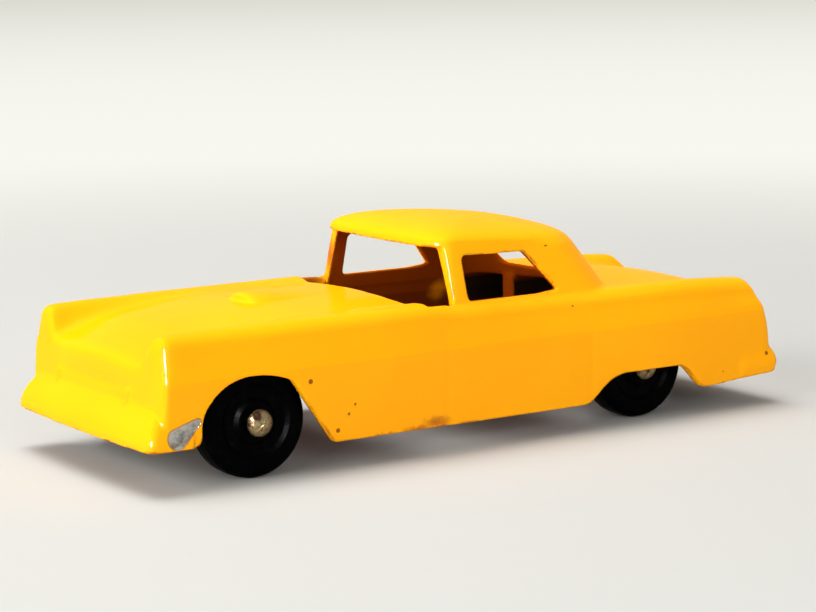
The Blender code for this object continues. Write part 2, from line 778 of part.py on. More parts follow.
def add_axle_posts(casting, line, finish):
    """Joins the two posts of an axle to the casting and drills them for the axle."""
    for side in (1, -1):
        inner = side * line.post_inner
        outer = side * line.post_outer
        combine(casting, extruded("post", post_outline(line), along_y, inner, outer, finish), "UNION")
    radii = (AXLE_HOLE_RADIUS, AXLE_HOLE_RADIUS)
    circle = arc((line.x, WHEEL_RADIUS), radii, 0, 360, PIN_SEGMENTS)[:-1]
    hole = extruded("axle_hole", circle, along_y, -line.wheel_inner, line.wheel_inner, finish)
    combine(casting, hole, "DIFFERENCE")


def add_pads(casting, x, finish):
    """Joins a pair of round pads to the inside of the upper skin."""
    radii = (PAD_DIAMETER / 2, PAD_DIAMETER / 2)
    for side in (PAD_SIDE, -PAD_SIDE):
        circle = arc((x, side), radii, 0, 360, PIN_SEGMENTS)[:-1]
        low = top_height(x, side, WALL) - PAD_PROUD
        high = top_height(x, side) - WALL / 2
        combine(casting, extruded("pad", circle, along_z, low, high, finish), "UNION")


def build_casting(finish):
    """The one-piece casting: skin, hollow, openings, arches and axle posts."""
    casting = lofted("body_casting", body_rings(0.0), finish)
    combine(casting, lofted("cabin", cabin_rings(0.0), finish), "UNION")
    for piece in outer_details(finish):
        combine(casting, piece, "UNION")
    for cutter in openings(finish):
        combine(casting, cutter, "DIFFERENCE")
    for line in AXLE_LINES:
        add_axle_posts(casting, line, finish)
    add_pads(casting, FRONT_X - HOOD_PAD_SETBACK, finish)
    add_pads(casting, DECK_PAD_LEAD - FRONT_X, finish)
    smooth(casting)


def build_axle(line, finish):
    """One steel pin with a domed head at each end."""
    axle = spun(f"{line.end}_axle", axle_profile(line), False, PIN_SEGMENTS, finish)
    axle.location = (line.x, 0, WHEEL_RADIUS)
    smooth(axle)


def build_wheel(line, name, side, finish):
    """One solid wheel, with its origin on the axle's line in the middle of its width."""
    profile = [(side * y, radius) for y, radius in wheel_profile()]
    wheel = spun(f"{line.end}_{name}_wheel", profile, True, ROUND_SEGMENTS, finish)
    wheel.location = (line.x, side * (line.wheel_outer + line.wheel_inner) / 2, WHEEL_RADIUS)
    smooth(wheel)


def main():
    """Builds the whole toy."""
    for item in list(bpy.data.objects):
        bpy.data.objects.remove(item)
    enamel = material("yellow_enamel", (0.95, 0.42, 0.01), 0.25, 0.0)
    rubber = material("black_wheel", (0.012, 0.012, 0.012), 0.5, 0.0)
    steel = material("axle_steel", (0.55, 0.53, 0.48), 0.35, 1.0)
    build_casting(enamel)
    for line in AXLE_LINES:
        build_axle(line, steel)
        build_wheel(line, "left", 1, rubber)
        build_wheel(line, "right", -1, rubber)


main()
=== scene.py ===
"""Dresses a small die-cast toy coupe: the enamelled casting, two steel axles and four black wheels.

Metres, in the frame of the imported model: +X is the front of the car, +Y its left side and +Z up.
"""

import logging
import math
from contextlib import contextmanager
from dataclasses import dataclass, replace
from enum import Enum
from typing import Callable, Iterator, Sequence

import bpy
import numpy as np
from mathutils import Matrix, Vector


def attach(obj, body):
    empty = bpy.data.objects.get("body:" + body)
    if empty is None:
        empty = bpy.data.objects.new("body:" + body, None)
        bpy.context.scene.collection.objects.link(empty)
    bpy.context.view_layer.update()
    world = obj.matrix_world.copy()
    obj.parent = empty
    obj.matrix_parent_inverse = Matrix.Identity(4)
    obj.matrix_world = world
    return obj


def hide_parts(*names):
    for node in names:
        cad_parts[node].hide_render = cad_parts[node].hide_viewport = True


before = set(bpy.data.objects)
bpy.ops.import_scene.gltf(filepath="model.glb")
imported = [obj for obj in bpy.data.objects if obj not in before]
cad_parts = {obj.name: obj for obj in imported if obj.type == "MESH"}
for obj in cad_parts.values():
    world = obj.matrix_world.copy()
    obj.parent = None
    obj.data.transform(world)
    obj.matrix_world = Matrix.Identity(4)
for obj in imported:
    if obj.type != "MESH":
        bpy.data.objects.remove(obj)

Point = tuple[float, float, float]
Flat = tuple[float, float]
Ring = list[Point]
Colour = tuple[float, float, float]
Socket = bpy.types.NodeSocket

IMAGE_WIDTH = 816
MERGE_DISTANCE = 1e-7
log = logging.getLogger("toy_coupe")


class Joining(Enum):
    """How a helper solid changes the one it meets."""

    ADD = "UNION"
    CUT = "DIFFERENCE"


class View(Enum):
    """The axis along which a flat outline is looked at."""

    FRONT = 0
    SIDE = 1
    PLAN = 2


def clamp(value: float) -> float:
    """The value held between 0 and 1."""
    return max(0.0, min(1.0, value))


def ease(value: float) -> float:
    """A smooth rise from 0 to 1."""
    held = clamp(value)
    return held * held * (3 - 2 * held)


def blend(start: float, end: float, share: float) -> float:
    """The value that lies at this share of the way from start to end."""
    return start + (end - start) * share


def bell(offset: float, width: float) -> float:
    """A smooth hump of height 1 that fades out over the given width."""
    return math.exp(-((offset / width) ** 2))


def through(x: float, knots: Sequence[Flat]) -> float:
    """Height on a smooth curve through knots.

    Args:
        x: Place along the curve.
        knots: Pairs of place and height, in rising order of place.

    Returns:
        The height at x, level beyond both ends.
    """
    if x <= knots[0][0]:
        return knots[0][1]
    if x >= knots[-1][0]:
        return knots[-1][1]
    slopes = [(b[1] - a[1]) / (b[0] - a[0]) for a, b in zip(knots, knots[1:])]
    tangents = [slopes[0]]
    for before, after in zip(slopes, slopes[1:]):
        tangents.append(0.0 if before * after <= 0 else 2 * before * after / (before + after))
    tangents.append(slopes[-1])
    index = next(i for i in range(len(slopes)) if x <= knots[i + 1][0])
    (x0, z0), (x1, z1) = knots[index], knots[index + 1]
    length = x1 - x0
    t = (x - x0) / length
    rise = (1 + 2 * t) * (1 - t) ** 2 * z0 + t * t * (3 - 2 * t) * z1
    bend = t * (1 - t) ** 2 * tangents[index] - t * t * (1 - t) * tangents[index + 1]
    return rise + bend * length


def arc(centre: Flat, radii: Flat, start: float, end: float, steps: int) -> list[Flat]:
    """Points on an ellipse.

    Args:
        centre: Centre of the ellipse.
        radii: Its two half axes.
        start: First angle in degrees.
        end: Last angle in degrees.
        steps: Number of steps between them.

    Returns:
        The points, both ends included.
    """
    angles = [math.radians(blend(start, end, step / steps)) for step in range(steps + 1)]
    return [(centre[0] + radii[0] * math.cos(a), centre[1] + radii[1] * math.sin(a)) for a in angles]


def rounded(corners: Sequence[Point], steps: int = 8) -> list[Flat]:
    """Outline through corners with an arc at each corner that has a radius.

    Args:
        corners: Each corner's two places and its radius.
        steps: Steps in each arc.

    Returns:
        The closed outline's points.
    """
    outline: list[Flat] = []
    for index, (a, b, radius) in enumerate(corners):
        corner = Vector((a, b))
        if radius == 0:
            outline.append((a, b))
            continue
        before = (Vector(corners[index - 1][:2]) - corner).normalized()
        after = (Vector(corners[(index + 1) % len(corners)][:2]) - corner).normalized()
        half_angle = before.angle(after) / 2
        centre = corner + (before + after).normalized() * (radius / math.sin(half_angle))
        reach = radius / math.tan(half_angle)
        start = (corner + before * reach - centre).normalized()
        end = (corner + after * reach - centre).normalized()
        for step in range(steps + 1):
            outline.append(tuple(centre + start.slerp(end, step / steps) * radius))
    return outline


class Bench:
    """Modelling steps made with operators, on one object at a time."""

    @staticmethod
    def pick(item: bpy.types.Object) -> None:
        """Makes one object the only selected one.

        Args:
            item: The object.
        """
        bpy.ops.object.select_all(action="DESELECT")
        item.select_set(True)
        bpy.context.view_layer.objects.active = item

    @staticmethod
    @contextmanager
    def editing(item: bpy.types.Object) -> Iterator[None]:
        """Holds an object in edit mode with everything selected.

        Args:
            item: The object.

        Returns:
            What a with statement takes.
        """
        Bench.pick(item)
        bpy.ops.object.mode_set(mode="EDIT")
        bpy.ops.mesh.select_all(action="SELECT")
        yield
        bpy.ops.object.mode_set(mode="OBJECT")

    @staticmethod
    def started(name: str) -> bpy.types.Object:
        """Names the primitive that was just added.

        Args:
            name: Its new name.

        Returns:
            The object.
        """
        item = bpy.context.active_object
        item.name = name
        item.data.name = name
        return item

    @staticmethod
    def modify(item: bpy.types.Object, kind: str, **settings: object) -> None:
        """Adds a modifier, sets it and applies it.

        Args:
            item: The object.
            kind: The modifier's type.
            settings: Values of the modifier's properties.
        """
        Bench.pick(item)
        bpy.ops.object.modifier_add(type=kind)
        modifier = item.modifiers[-1]
        for key, value in settings.items():
            setattr(modifier, key, value)
        bpy.ops.object.modifier_apply(modifier=modifier.name)

    @staticmethod
    def combine(target: bpy.types.Object, helper: bpy.types.Object, joining: Joining) -> None:
        """Joins a helper solid to the target, or cuts it away, and deletes it."""
        Bench.modify(target, "BOOLEAN", object=helper, operation=joining.value, solver="MANIFOLD")
        bpy.data.objects.remove(helper)

    @staticmethod
    def outward(item: bpy.types.Object) -> None:
        """Merges doubles and turns all faces outward.

        Args:
            item: The object.
        """
        with Bench.editing(item):
            bpy.ops.mesh.remove_doubles(threshold=MERGE_DISTANCE)
            bpy.ops.mesh.normals_make_consistent(inside=False)

    @staticmethod
    def tube(name: str, rings: Sequence[Ring]) -> bpy.types.Object:
        """A grid rolled up through rings of points, with its seam merged and its ends filled.

        Args:
            name: The object's name.
            rings: Rings with the same number of points each.

        Returns:
            The closed solid.
        """
        bpy.ops.object.select_all(action="DESELECT")
        along = len(rings) - 1
        around = len(rings[0])
        bpy.ops.mesh.primitive_grid_add(x_subdivisions=along, y_subdivisions=around, size=1.0)
        item = Bench.started(name)
        for vertex in item.data.vertices:
            ring = rings[round((vertex.co.x + 0.5) * along)]
            vertex.co = ring[round((vertex.co.y + 0.5) * around) % around]
        with Bench.editing(item):
            bpy.ops.mesh.remove_doubles(threshold=MERGE_DISTANCE)
            bpy.ops.mesh.fill_holes(sides=0)
        Bench.outward(item)
        return item

    @staticmethod
    def prism(name: str, outline: Sequence[Flat], view: View, start: float, end: float) -> bpy.types.Object:
        """A filled circle moved onto an outline and extruded.

        Args:
            name: The object's name.
            outline: Points of the outline.
            view: The axis along which the outline is seen and extruded.
            start: Where the outline lies on that axis.
            end: Where the extrusion ends.

        Returns:
            The closed solid.
        """
        bpy.ops.object.select_all(action="DESELECT")
        bpy.ops.mesh.primitive_circle_add(vertices=len(outline), radius=1.0, fill_type="NGON")
        item = Bench.started(name)
        for vertex, (a, b) in zip(item.data.vertices, outline):
            place = [a, b]
            place.insert(view.value, start)
            vertex.co = place
        travel = [0.0, 0.0, 0.0]
        travel[view.value] = end - start
        with Bench.editing(item):
            bpy.ops.mesh.extrude_region_move(TRANSFORM_OT_translate={"value": travel})
        Bench.outward(item)
        return item

    @staticmethod
    def lathe(name: str, profile: Sequence[Flat], centre: Point, steps: int) -> bpy.types.Object:
        """A closed profile spun about a line along Y.

        Args:
            name: The object's name.
            profile: Pairs of place along Y and radius.
            centre: A point on the line that the profile turns about.
            steps: Steps round the turn.

        Returns:
            The closed solid.
        """
        bpy.ops.object.select_all(action="DESELECT")
        bpy.ops.mesh.primitive_circle_add(vertices=len(profile), radius=1.0)
        item = Bench.started(name)
        for vertex, (y, radius) in zip(item.data.vertices, profile):
            vertex.co = (centre[0], centre[1] + y, centre[2] + radius)
        with Bench.editing(item):
            bpy.ops.mesh.spin(steps=steps, angle=2 * math.pi, center=centre, axis=(0, 1, 0))
        Bench.outward(item)
        return item

    @staticmethod
    def egg(name: str, centre: Point, radii: Point) -> bpy.types.Object:
        """A sphere stretched to three half axes.

        Args:
            name: The object's name.
            centre: Its centre.
            radii: Its half axes.

        Returns:
            The closed solid.
        """
        bpy.ops.object.select_all(action="DESELECT")
        bpy.ops.mesh.primitive_uv_sphere_add(segments=32, ring_count=20, radius=1.0)
        item = Bench.started(name)
        with Bench.editing(item):
            bpy.ops.transform.resize(value=radii)
            bpy.ops.transform.translate(value=centre)
        return item


@dataclass(frozen=True)
class LowerBody:
    """Fenders, hood, deck and sides, as one skin that can also be drawn inset for the hollow."""

    nose_x: float = 0.0371
    tail_x: float = -0.0378
    front_axle_x: float = 0.0259
    rear_axle_x: float = -0.0214
    half: float = 0.0142
    foot: float = 0.0010
    crease: float = 0.0104
    crease_rise: float = 0.0007
    crease_step: float = 0.0002
    tuck: float = 0.0005
    tumblehome: float = 0.0007
    shoulder: float = 0.0017
    pod_width: float = 0.0051
    pod_top: float = 0.0004
    hood_crown: float = 0.0004
    nose_narrowing: float = 0.0001
    tail_narrowing: float = 0.0004
    end_radius: float = 0.00075
    end_blend: float = 0.0070
    nose_bow: float = 0.0004
    tail_bow: float = 0.0002
    nose_lean: float = 0.0008
    nose_crest: float = 0.0148
    cowl_crest: float = 0.0149
    belt: Flat = (0.0030, 0.0146)
    fin_crests: Flat = (0.0137, 0.0143)
    hood_heights: tuple[float, float, float] = (0.0151, 0.0142, 0.0120)
    hood_lengths: Flat = (0.0200, 0.0085)
    cowl: Flat = (0.0068, 0.0150)
    deck_heights: tuple[float, float, float] = (0.0120, 0.0137, 0.0145)
    deck_lengths: Flat = (0.0075, 0.0135)
    tail_curve: float = 45.0
    tail_curve_from: float = 0.0060
    hood_seam_x: float = 0.0323
    hood_seam_half: float = 0.0088
    door_front_x: float = 0.0049
    door_rear_x: float = -0.0129
    seam_depth: float = 0.00005
    seam_width: float = 0.00030
    cap_height: float = 0.0072
    hollow: bool = False
    spacing: float = 0.0004
    steps: int = 10
    cross_steps: int = 44
    cap_steps: int = 40

    def half_width(self, x: float) -> float:
        """Half width of the sides, drawn in a little toward both ends.

        Args:
            x: The station.

        Returns:
            The half width there.
        """
        ahead = clamp((x - self.front_axle_x) / (self.nose_x - self.front_axle_x))
        behind = clamp((self.rear_axle_x - x) / (self.rear_axle_x - self.tail_x))
        return self.half - self.nose_narrowing * ahead**2 - self.tail_narrowing * behind**2

    def crest_height(self, x: float) -> float:
        """Height of the fender crest, which runs level and falls into the tail fins.

        Args:
            x: The station.

        Returns:
            The height there.
        """
        fin_front = self.tail_x + self.deck_lengths[1]
        fins = ((self.tail_x, self.fin_crests[0]), (fin_front, self.fin_crests[1]))
        ahead = ((self.cowl[0], self.cowl_crest), (self.nose_x, self.nose_crest))
        return through(x, (*fins, self.belt, *ahead))

    def middle_height(self, x: float) -> float:
        """Height of the hood, the belt and the deck along the middle of the car.

        Args:
            x: The station.

        Returns:
            The height there.
        """
        deck = zip((0.0, *self.deck_lengths), self.deck_heights)
        hood = zip((*self.hood_lengths, 0.0), self.hood_heights)
        knots = [(self.tail_x + length, height) for length, height in deck] + [self.cowl]
        return through(x, knots + [(self.nose_x - length, height) for length, height in hood])

    def top_height(self, x: float, y: float, inset: float = 0.0) -> float:
        """Height of the upper surface.

        Args:
            x: Place along the car.
            y: Place across the car.
            inset: How far the surface is set in for the hollow.

        Returns:
            The height at that place.
        """
        crest_y = self.half_width(x) - inset - self.tumblehome - self.shoulder - self.pod_top
        pod_y = self.half_width(x) - inset - self.pod_width
        across = min(1.0, abs(y) / pod_y)
        hood = self.middle_height(x) - self.hood_crown * across**2
        climb = ease((abs(y) - pod_y) / (crest_y - pod_y))
        height = blend(hood, self.rim_height(x), climb) - inset
        if inset == 0.0 and abs(y) < self.hood_seam_half:
            height -= self.seam_depth * bell(x - self.hood_seam_x, self.seam_width)
        return height

    def rim_height(self, x: float) -> float:
        """Height of the crest, which the hollow doesn't follow up into the headlamp pods."""
        crest = self.crest_height(x)
        return min(crest, self.middle_height(x)) if self.hollow else crest

    def door_seam(self, x: float) -> float:
        """Depth of the faint lines at the front and rear edge of the doors."""
        lines = (self.door_front_x, self.door_rear_x)
        return self.seam_depth * sum(bell(x - line, self.seam_width) for line in lines)

    def section(self, x: float, inset: float) -> list[Flat]:
        """Closed outline across the car, from the left sill over the top to the right sill.

        Args:
            x: The station.
            inset: How far the outline is set in from the skin.

        Returns:
            Pairs of place across and height.
        """
        seam = self.door_seam(x) if inset == 0.0 else 0.0
        width = self.half_width(x) - inset
        crest = self.rim_height(x) - inset
        crest_y = width - self.tumblehome - self.shoulder
        half = []
        for step in range(self.steps + 1):
            share = step / self.steps
            side = width - seam - self.tuck * (1 - share) ** 2
            half.append((side, blend(self.foot, self.crease, share)))
        half.append((width - seam - self.crease_step, self.crease + self.crease_rise))
        corner = (crest_y, crest - self.shoulder)
        half += arc(corner, (self.shoulder, self.shoulder), 0, 90, self.steps)[:-1]
        for step in range(self.cross_steps):
            y = crest_y * (1 - step / self.cross_steps)
            half.append((y, self.top_height(x, y, inset)))
        middle = [(0.0, self.top_height(x, 0.0, inset))]
        return half + middle + [(-y, z) for y, z in reversed(half)]

    def leaned(self, x: float, y: float, z: float) -> float:
        """Moves a station for the bowed ends, the leaning nose and the raked tail.

        Args:
            x: The station.
            y: Place across the car.
            z: Height.

        Returns:
            Where the body lies along the car at that place.
        """
        ahead = clamp((x - self.nose_x + self.end_blend) / self.end_blend) ** 2
        behind = clamp((self.tail_x + self.end_blend - x) / self.end_blend) ** 2
        across = (y / self.half) ** 2
        low = self.crease / 2
        lean = self.nose_lean * clamp((z - low) / (self.nose_crest - low))
        rake = self.tail_curve * max(0.0, z - self.tail_curve_from) ** 2
        return x - ahead * (self.nose_bow * across + lean) + behind * (self.tail_bow * across + rake)

    def station(self, x: float, y: float, z: float) -> float:
        """The station that a place on the body was moved from by its bowed, leaning ends.

        Args:
            x: Place along the car.
            y: Place across the car.
            z: Height.

        Returns:
            The station.
        """
        found = x
        for _ in range(3):
            found += x - self.leaned(found, y, z)
        return found

    def cap(self, x: float, inset: float) -> list[Ring]:
        """Rings that close an end, from its rim to a point at its middle.

        Args:
            x: The end's station.
            inset: How far its rim is set in from the skin.

        Returns:
            The rings of points.
        """
        rim = self.section(x, inset)
        rings = []
        for step in range(1, self.cap_steps):
            scale = 1 - step / self.cap_steps
            flat = [(y * scale, blend(self.cap_height, z, scale)) for y, z in rim]
            rings.append([(self.leaned(x, y, z), y, z) for y, z in flat])
        return rings

    def rings(self, wall: float) -> list[Ring]:
        """Rings from the tail to the nose, with both ends rounded and closed.

        Args:
            wall: Thickness of the metal for the hollow, or 0 for the outside.

        Returns:
            The rings of points.
        """
        ends = []
        for step in range(self.steps + 1):
            angle = math.pi / 2 * (1 - step / self.steps)
            ends.append((self.end_radius * (1 - math.sin(angle)), self.end_radius * (1 - math.cos(angle))))
        tail = self.tail_x + wall
        nose = self.nose_x - wall
        length = nose - tail - 2 * self.end_radius
        count = round(length / self.spacing)
        stations = [(tail + setback, wall + inset) for setback, inset in ends]
        stations += [(tail + self.end_radius + length * step / count, wall) for step in range(1, count)]
        stations += [(nose - setback, wall + inset) for setback, inset in reversed(ends)]
        skin = [[(self.leaned(x, y, z), y, z) for y, z in self.section(x, inset)] for x, inset in stations]
        tail_cap = self.cap(*stations[0])
        return tail_cap[::-1] + skin + self.cap(*stations[-1])


@dataclass(frozen=True)
class Cabin:
    """The fixed hardtop with its pillars, and the openings of its windows."""

    half: float = 0.0142
    height: float = 0.0221
    wall: float = 0.0010
    front_x: float = 0.0053
    length: float = 0.0240
    belt: float = 0.0146
    belt_depth: float = 0.0040
    belt_inset: float = 0.00175
    roof_edge: float = 0.0204
    lean: float = 0.0017
    front_rake: float = 0.0008
    rear_rake: float = 0.0031
    front_radius: float = 0.0022
    rear_radius: float = 0.0045
    front_bow: float = 0.0006
    rear_bow: float = 0.0012
    roof_tilt: float = 0.066
    edge_fall: float = 0.0010
    fullness: float = 2.0
    pillar_x: float = 0.0030
    pillar_width: float = 0.0019
    cowl_x: float = 0.0068
    cowl_bow: float = 0.0005
    cowl_power: int = 4
    header: float = 0.0200
    window_top: float = 0.0191
    window_length: float = 0.0111
    window_rake: float = 0.0034
    window_fall: float = 0.0002
    window_tip: Flat = (0.0026, 0.00025)
    window_radius: float = 0.0004
    screen_radius: float = 0.0010
    rear_bottom: float = 0.0148
    rear_top: float = 0.0190
    rear_half: float = 0.0086
    rear_draw: float = 0.0010
    rear_window_radius: float = 0.0012
    corner_steps: int = 12
    side_steps: int = 16
    roof_steps: int = 28
    crown_gap: float = 0.4

    def ring(self, front: float, rear: float, half: float, height: Callable[[float], float]) -> Ring:
        """One ring round the cabin.

        Args:
            front: Foremost place.
            rear: Rearmost place.
            half: Half width.
            height: Gives the ring's height along the car.

        Returns:
            The ring's points.
        """
        fore = min(self.front_radius, half)
        aft = min(self.rear_radius, half, (front - rear) / 3)
        quarter = arc((front - fore, half - fore), (fore, fore), 0, 90, self.corner_steps)
        for step in range(1, self.side_steps):
            quarter.append((blend(front - fore, rear + aft, step / self.side_steps), half))
        quarter += arc((rear + aft, half - aft), (aft, aft), 90, 180, self.corner_steps)
        for step in range(1, self.side_steps // 2):
            quarter.append((rear, blend(half - aft, 0.0, 2 * step / self.side_steps)))
        front_edge = []
        for step in range(1, self.side_steps // 2):
            front_edge.append((front, blend(half - fore, 0.0, 2 * step / self.side_steps)))
        left = front_edge[::-1] + quarter
        plan = [(front, 0.0)] + left + [(rear, 0.0)] + [(x, -y) for x, y in reversed(left)]
        middle = (front + rear) / 2
        ring = []
        for x, y in plan:
            bow = self.front_bow if x > middle else -self.rear_bow
            moved = x - bow * (y / half) ** 2 * abs(x - middle) / (front - middle)
            ring.append((moved, y, height(x)))
        return ring

    def rings(self, wall: float) -> list[Ring]:
        """Rings from under the belt to the crown of the roof.

        Args:
            wall: Thickness of the metal for the hollow, or 0 for the outside.

        Returns:
            The rings of points.
        """
        edge = self.roof_edge - wall / 2
        rings = []
        front = rear = half = fall = 0.0
        for level in (self.belt - self.belt_depth, self.belt, blend(self.belt, edge, 0.5), edge):
            share = (level - self.belt) / (self.roof_edge - self.belt)
            front = self.front_x - self.front_rake * share - wall / 2
            rear = self.front_x - self.length + self.rear_rake * share + wall
            half = self.half - self.belt_inset - self.lean * share - wall
            fall = self.edge_fall * clamp(share)
            rings.append(self.ring(front, rear, half, self.falling(level, fall, front, rear)))
        eaves = self.falling(edge, fall, front, rear)
        centre = (front + rear) / 2
        for step in range(1, self.roof_steps + 1):
            scale = math.cos(math.pi / 2 * step / (self.roof_steps + self.crown_gap))
            climb = (1 - scale**self.fullness) ** (1 / self.fullness)

            def dome(x: float, climb: float = climb) -> float:
                """Height of the dome at this climb from the eaves to the crown."""
                crown = self.height - wall + self.roof_tilt * (x - centre)
                return blend(eaves(x), crown, climb)

            ends = (blend(centre, front, scale), blend(centre, rear, scale))
            rings.append(self.ring(*ends, half * scale, dome))
        return rings

    @staticmethod
    def falling(level: float, fall: float, front: float, rear: float) -> Callable[[float], float]:
        """A height that falls gently from the front of the roof to its rear."""
        return lambda x: level - fall * ease((front - x) / (front - rear))

    def side_windows(self) -> list[Flat]:
        """Side view of the open side windows.

        Returns:
            The outline's points.
        """
        front = self.pillar_x - self.pillar_width
        rear = front - self.window_length
        radius = self.window_radius
        return rounded(
            [
                (front, self.belt, radius),
                (front, self.window_top, radius),
                (rear + self.window_rake, self.window_top - self.window_fall, 2 * radius),
                (rear, self.belt + self.window_tip[1], radius / 4),
                (rear + self.window_tip[0], self.belt, radius),
            ]
        )

    def windscreen(self) -> list[Flat]:
        """Plan view of the open windscreen: a bowed cowl edge that wraps round to the pillars.

        Returns:
            The outline's points.
        """
        half = self.half - self.belt_inset - self.wall / 4
        bow = []
        for step in range(self.side_steps + 1):
            y = blend(-half, half, step / self.side_steps)
            radius = self.screen_radius if step in (0, self.side_steps) else 0
            bow.append((self.cowl_x - self.cowl_bow * (y / half) ** self.cowl_power, y, radius))
        return rounded([(self.pillar_x, half, 0), (self.pillar_x, -half, 0)] + bow)

    def pillar_front(self) -> list[Flat]:
        """Side view of the open space ahead of the pillars, under the front edge of the roof.

        Returns:
            The outline's points.
        """
        front = self.front_x + self.wall
        return rounded(
            [
                (front, self.belt, 0),
                (front, self.header, 0),
                (self.pillar_x, self.header, 2 * self.window_radius),
                (self.pillar_x, self.belt, 0),
            ]
        )

    def rear_window(self) -> list[Flat]:
        """Rear view of the open rear window.

        Returns:
            The outline's points.
        """
        top_half = self.rear_half - self.rear_draw
        radius = self.rear_window_radius
        return rounded(
            [
                (-self.rear_half, self.rear_bottom, radius),
                (self.rear_half, self.rear_bottom, radius),
                (top_half, self.rear_top, radius),
                (-top_half, self.rear_top, radius),
            ]
        )


@dataclass(frozen=True)
class Bumper:
    """A bumper that is cast on one end of the body and wraps round its corners."""

    half: float
    radius: float
    bow: float
    rows: tuple[Flat, ...]
    front: float = 0.0386
    wrap: float = 0.0052
    levels: int = 20
    steps: int = 12

    def rings(self, facing: int) -> list[Ring]:
        """Level rings from the bottom of the bumper to its top.

        Args:
            facing: 1 for the front of the car and -1 for its rear.

        Returns:
            The rings of points.
        """
        rings = []
        for level in range(self.levels + 1):
            z = blend(self.rows[0][0], self.rows[-1][0], level / self.levels)
            inset = through(z, self.rows)
            face = self.front - inset
            side = self.half - inset
            flat = side - self.radius
            corner = (face - self.bow - self.radius, flat)
            left = [(self.front - self.wrap, side)]
            left += arc(corner, (self.radius, self.radius), 90, 0, self.steps)
            for step in range(1, self.steps):
                share = 1 - step / self.steps
                left.append((face - self.bow * share**2, flat * share))
            plan = left + [(face, 0.0)] + [(x, -y) for x, y in reversed(left)]
            rings.append([(facing * x, y, z) for x, y in plan])
        return rings


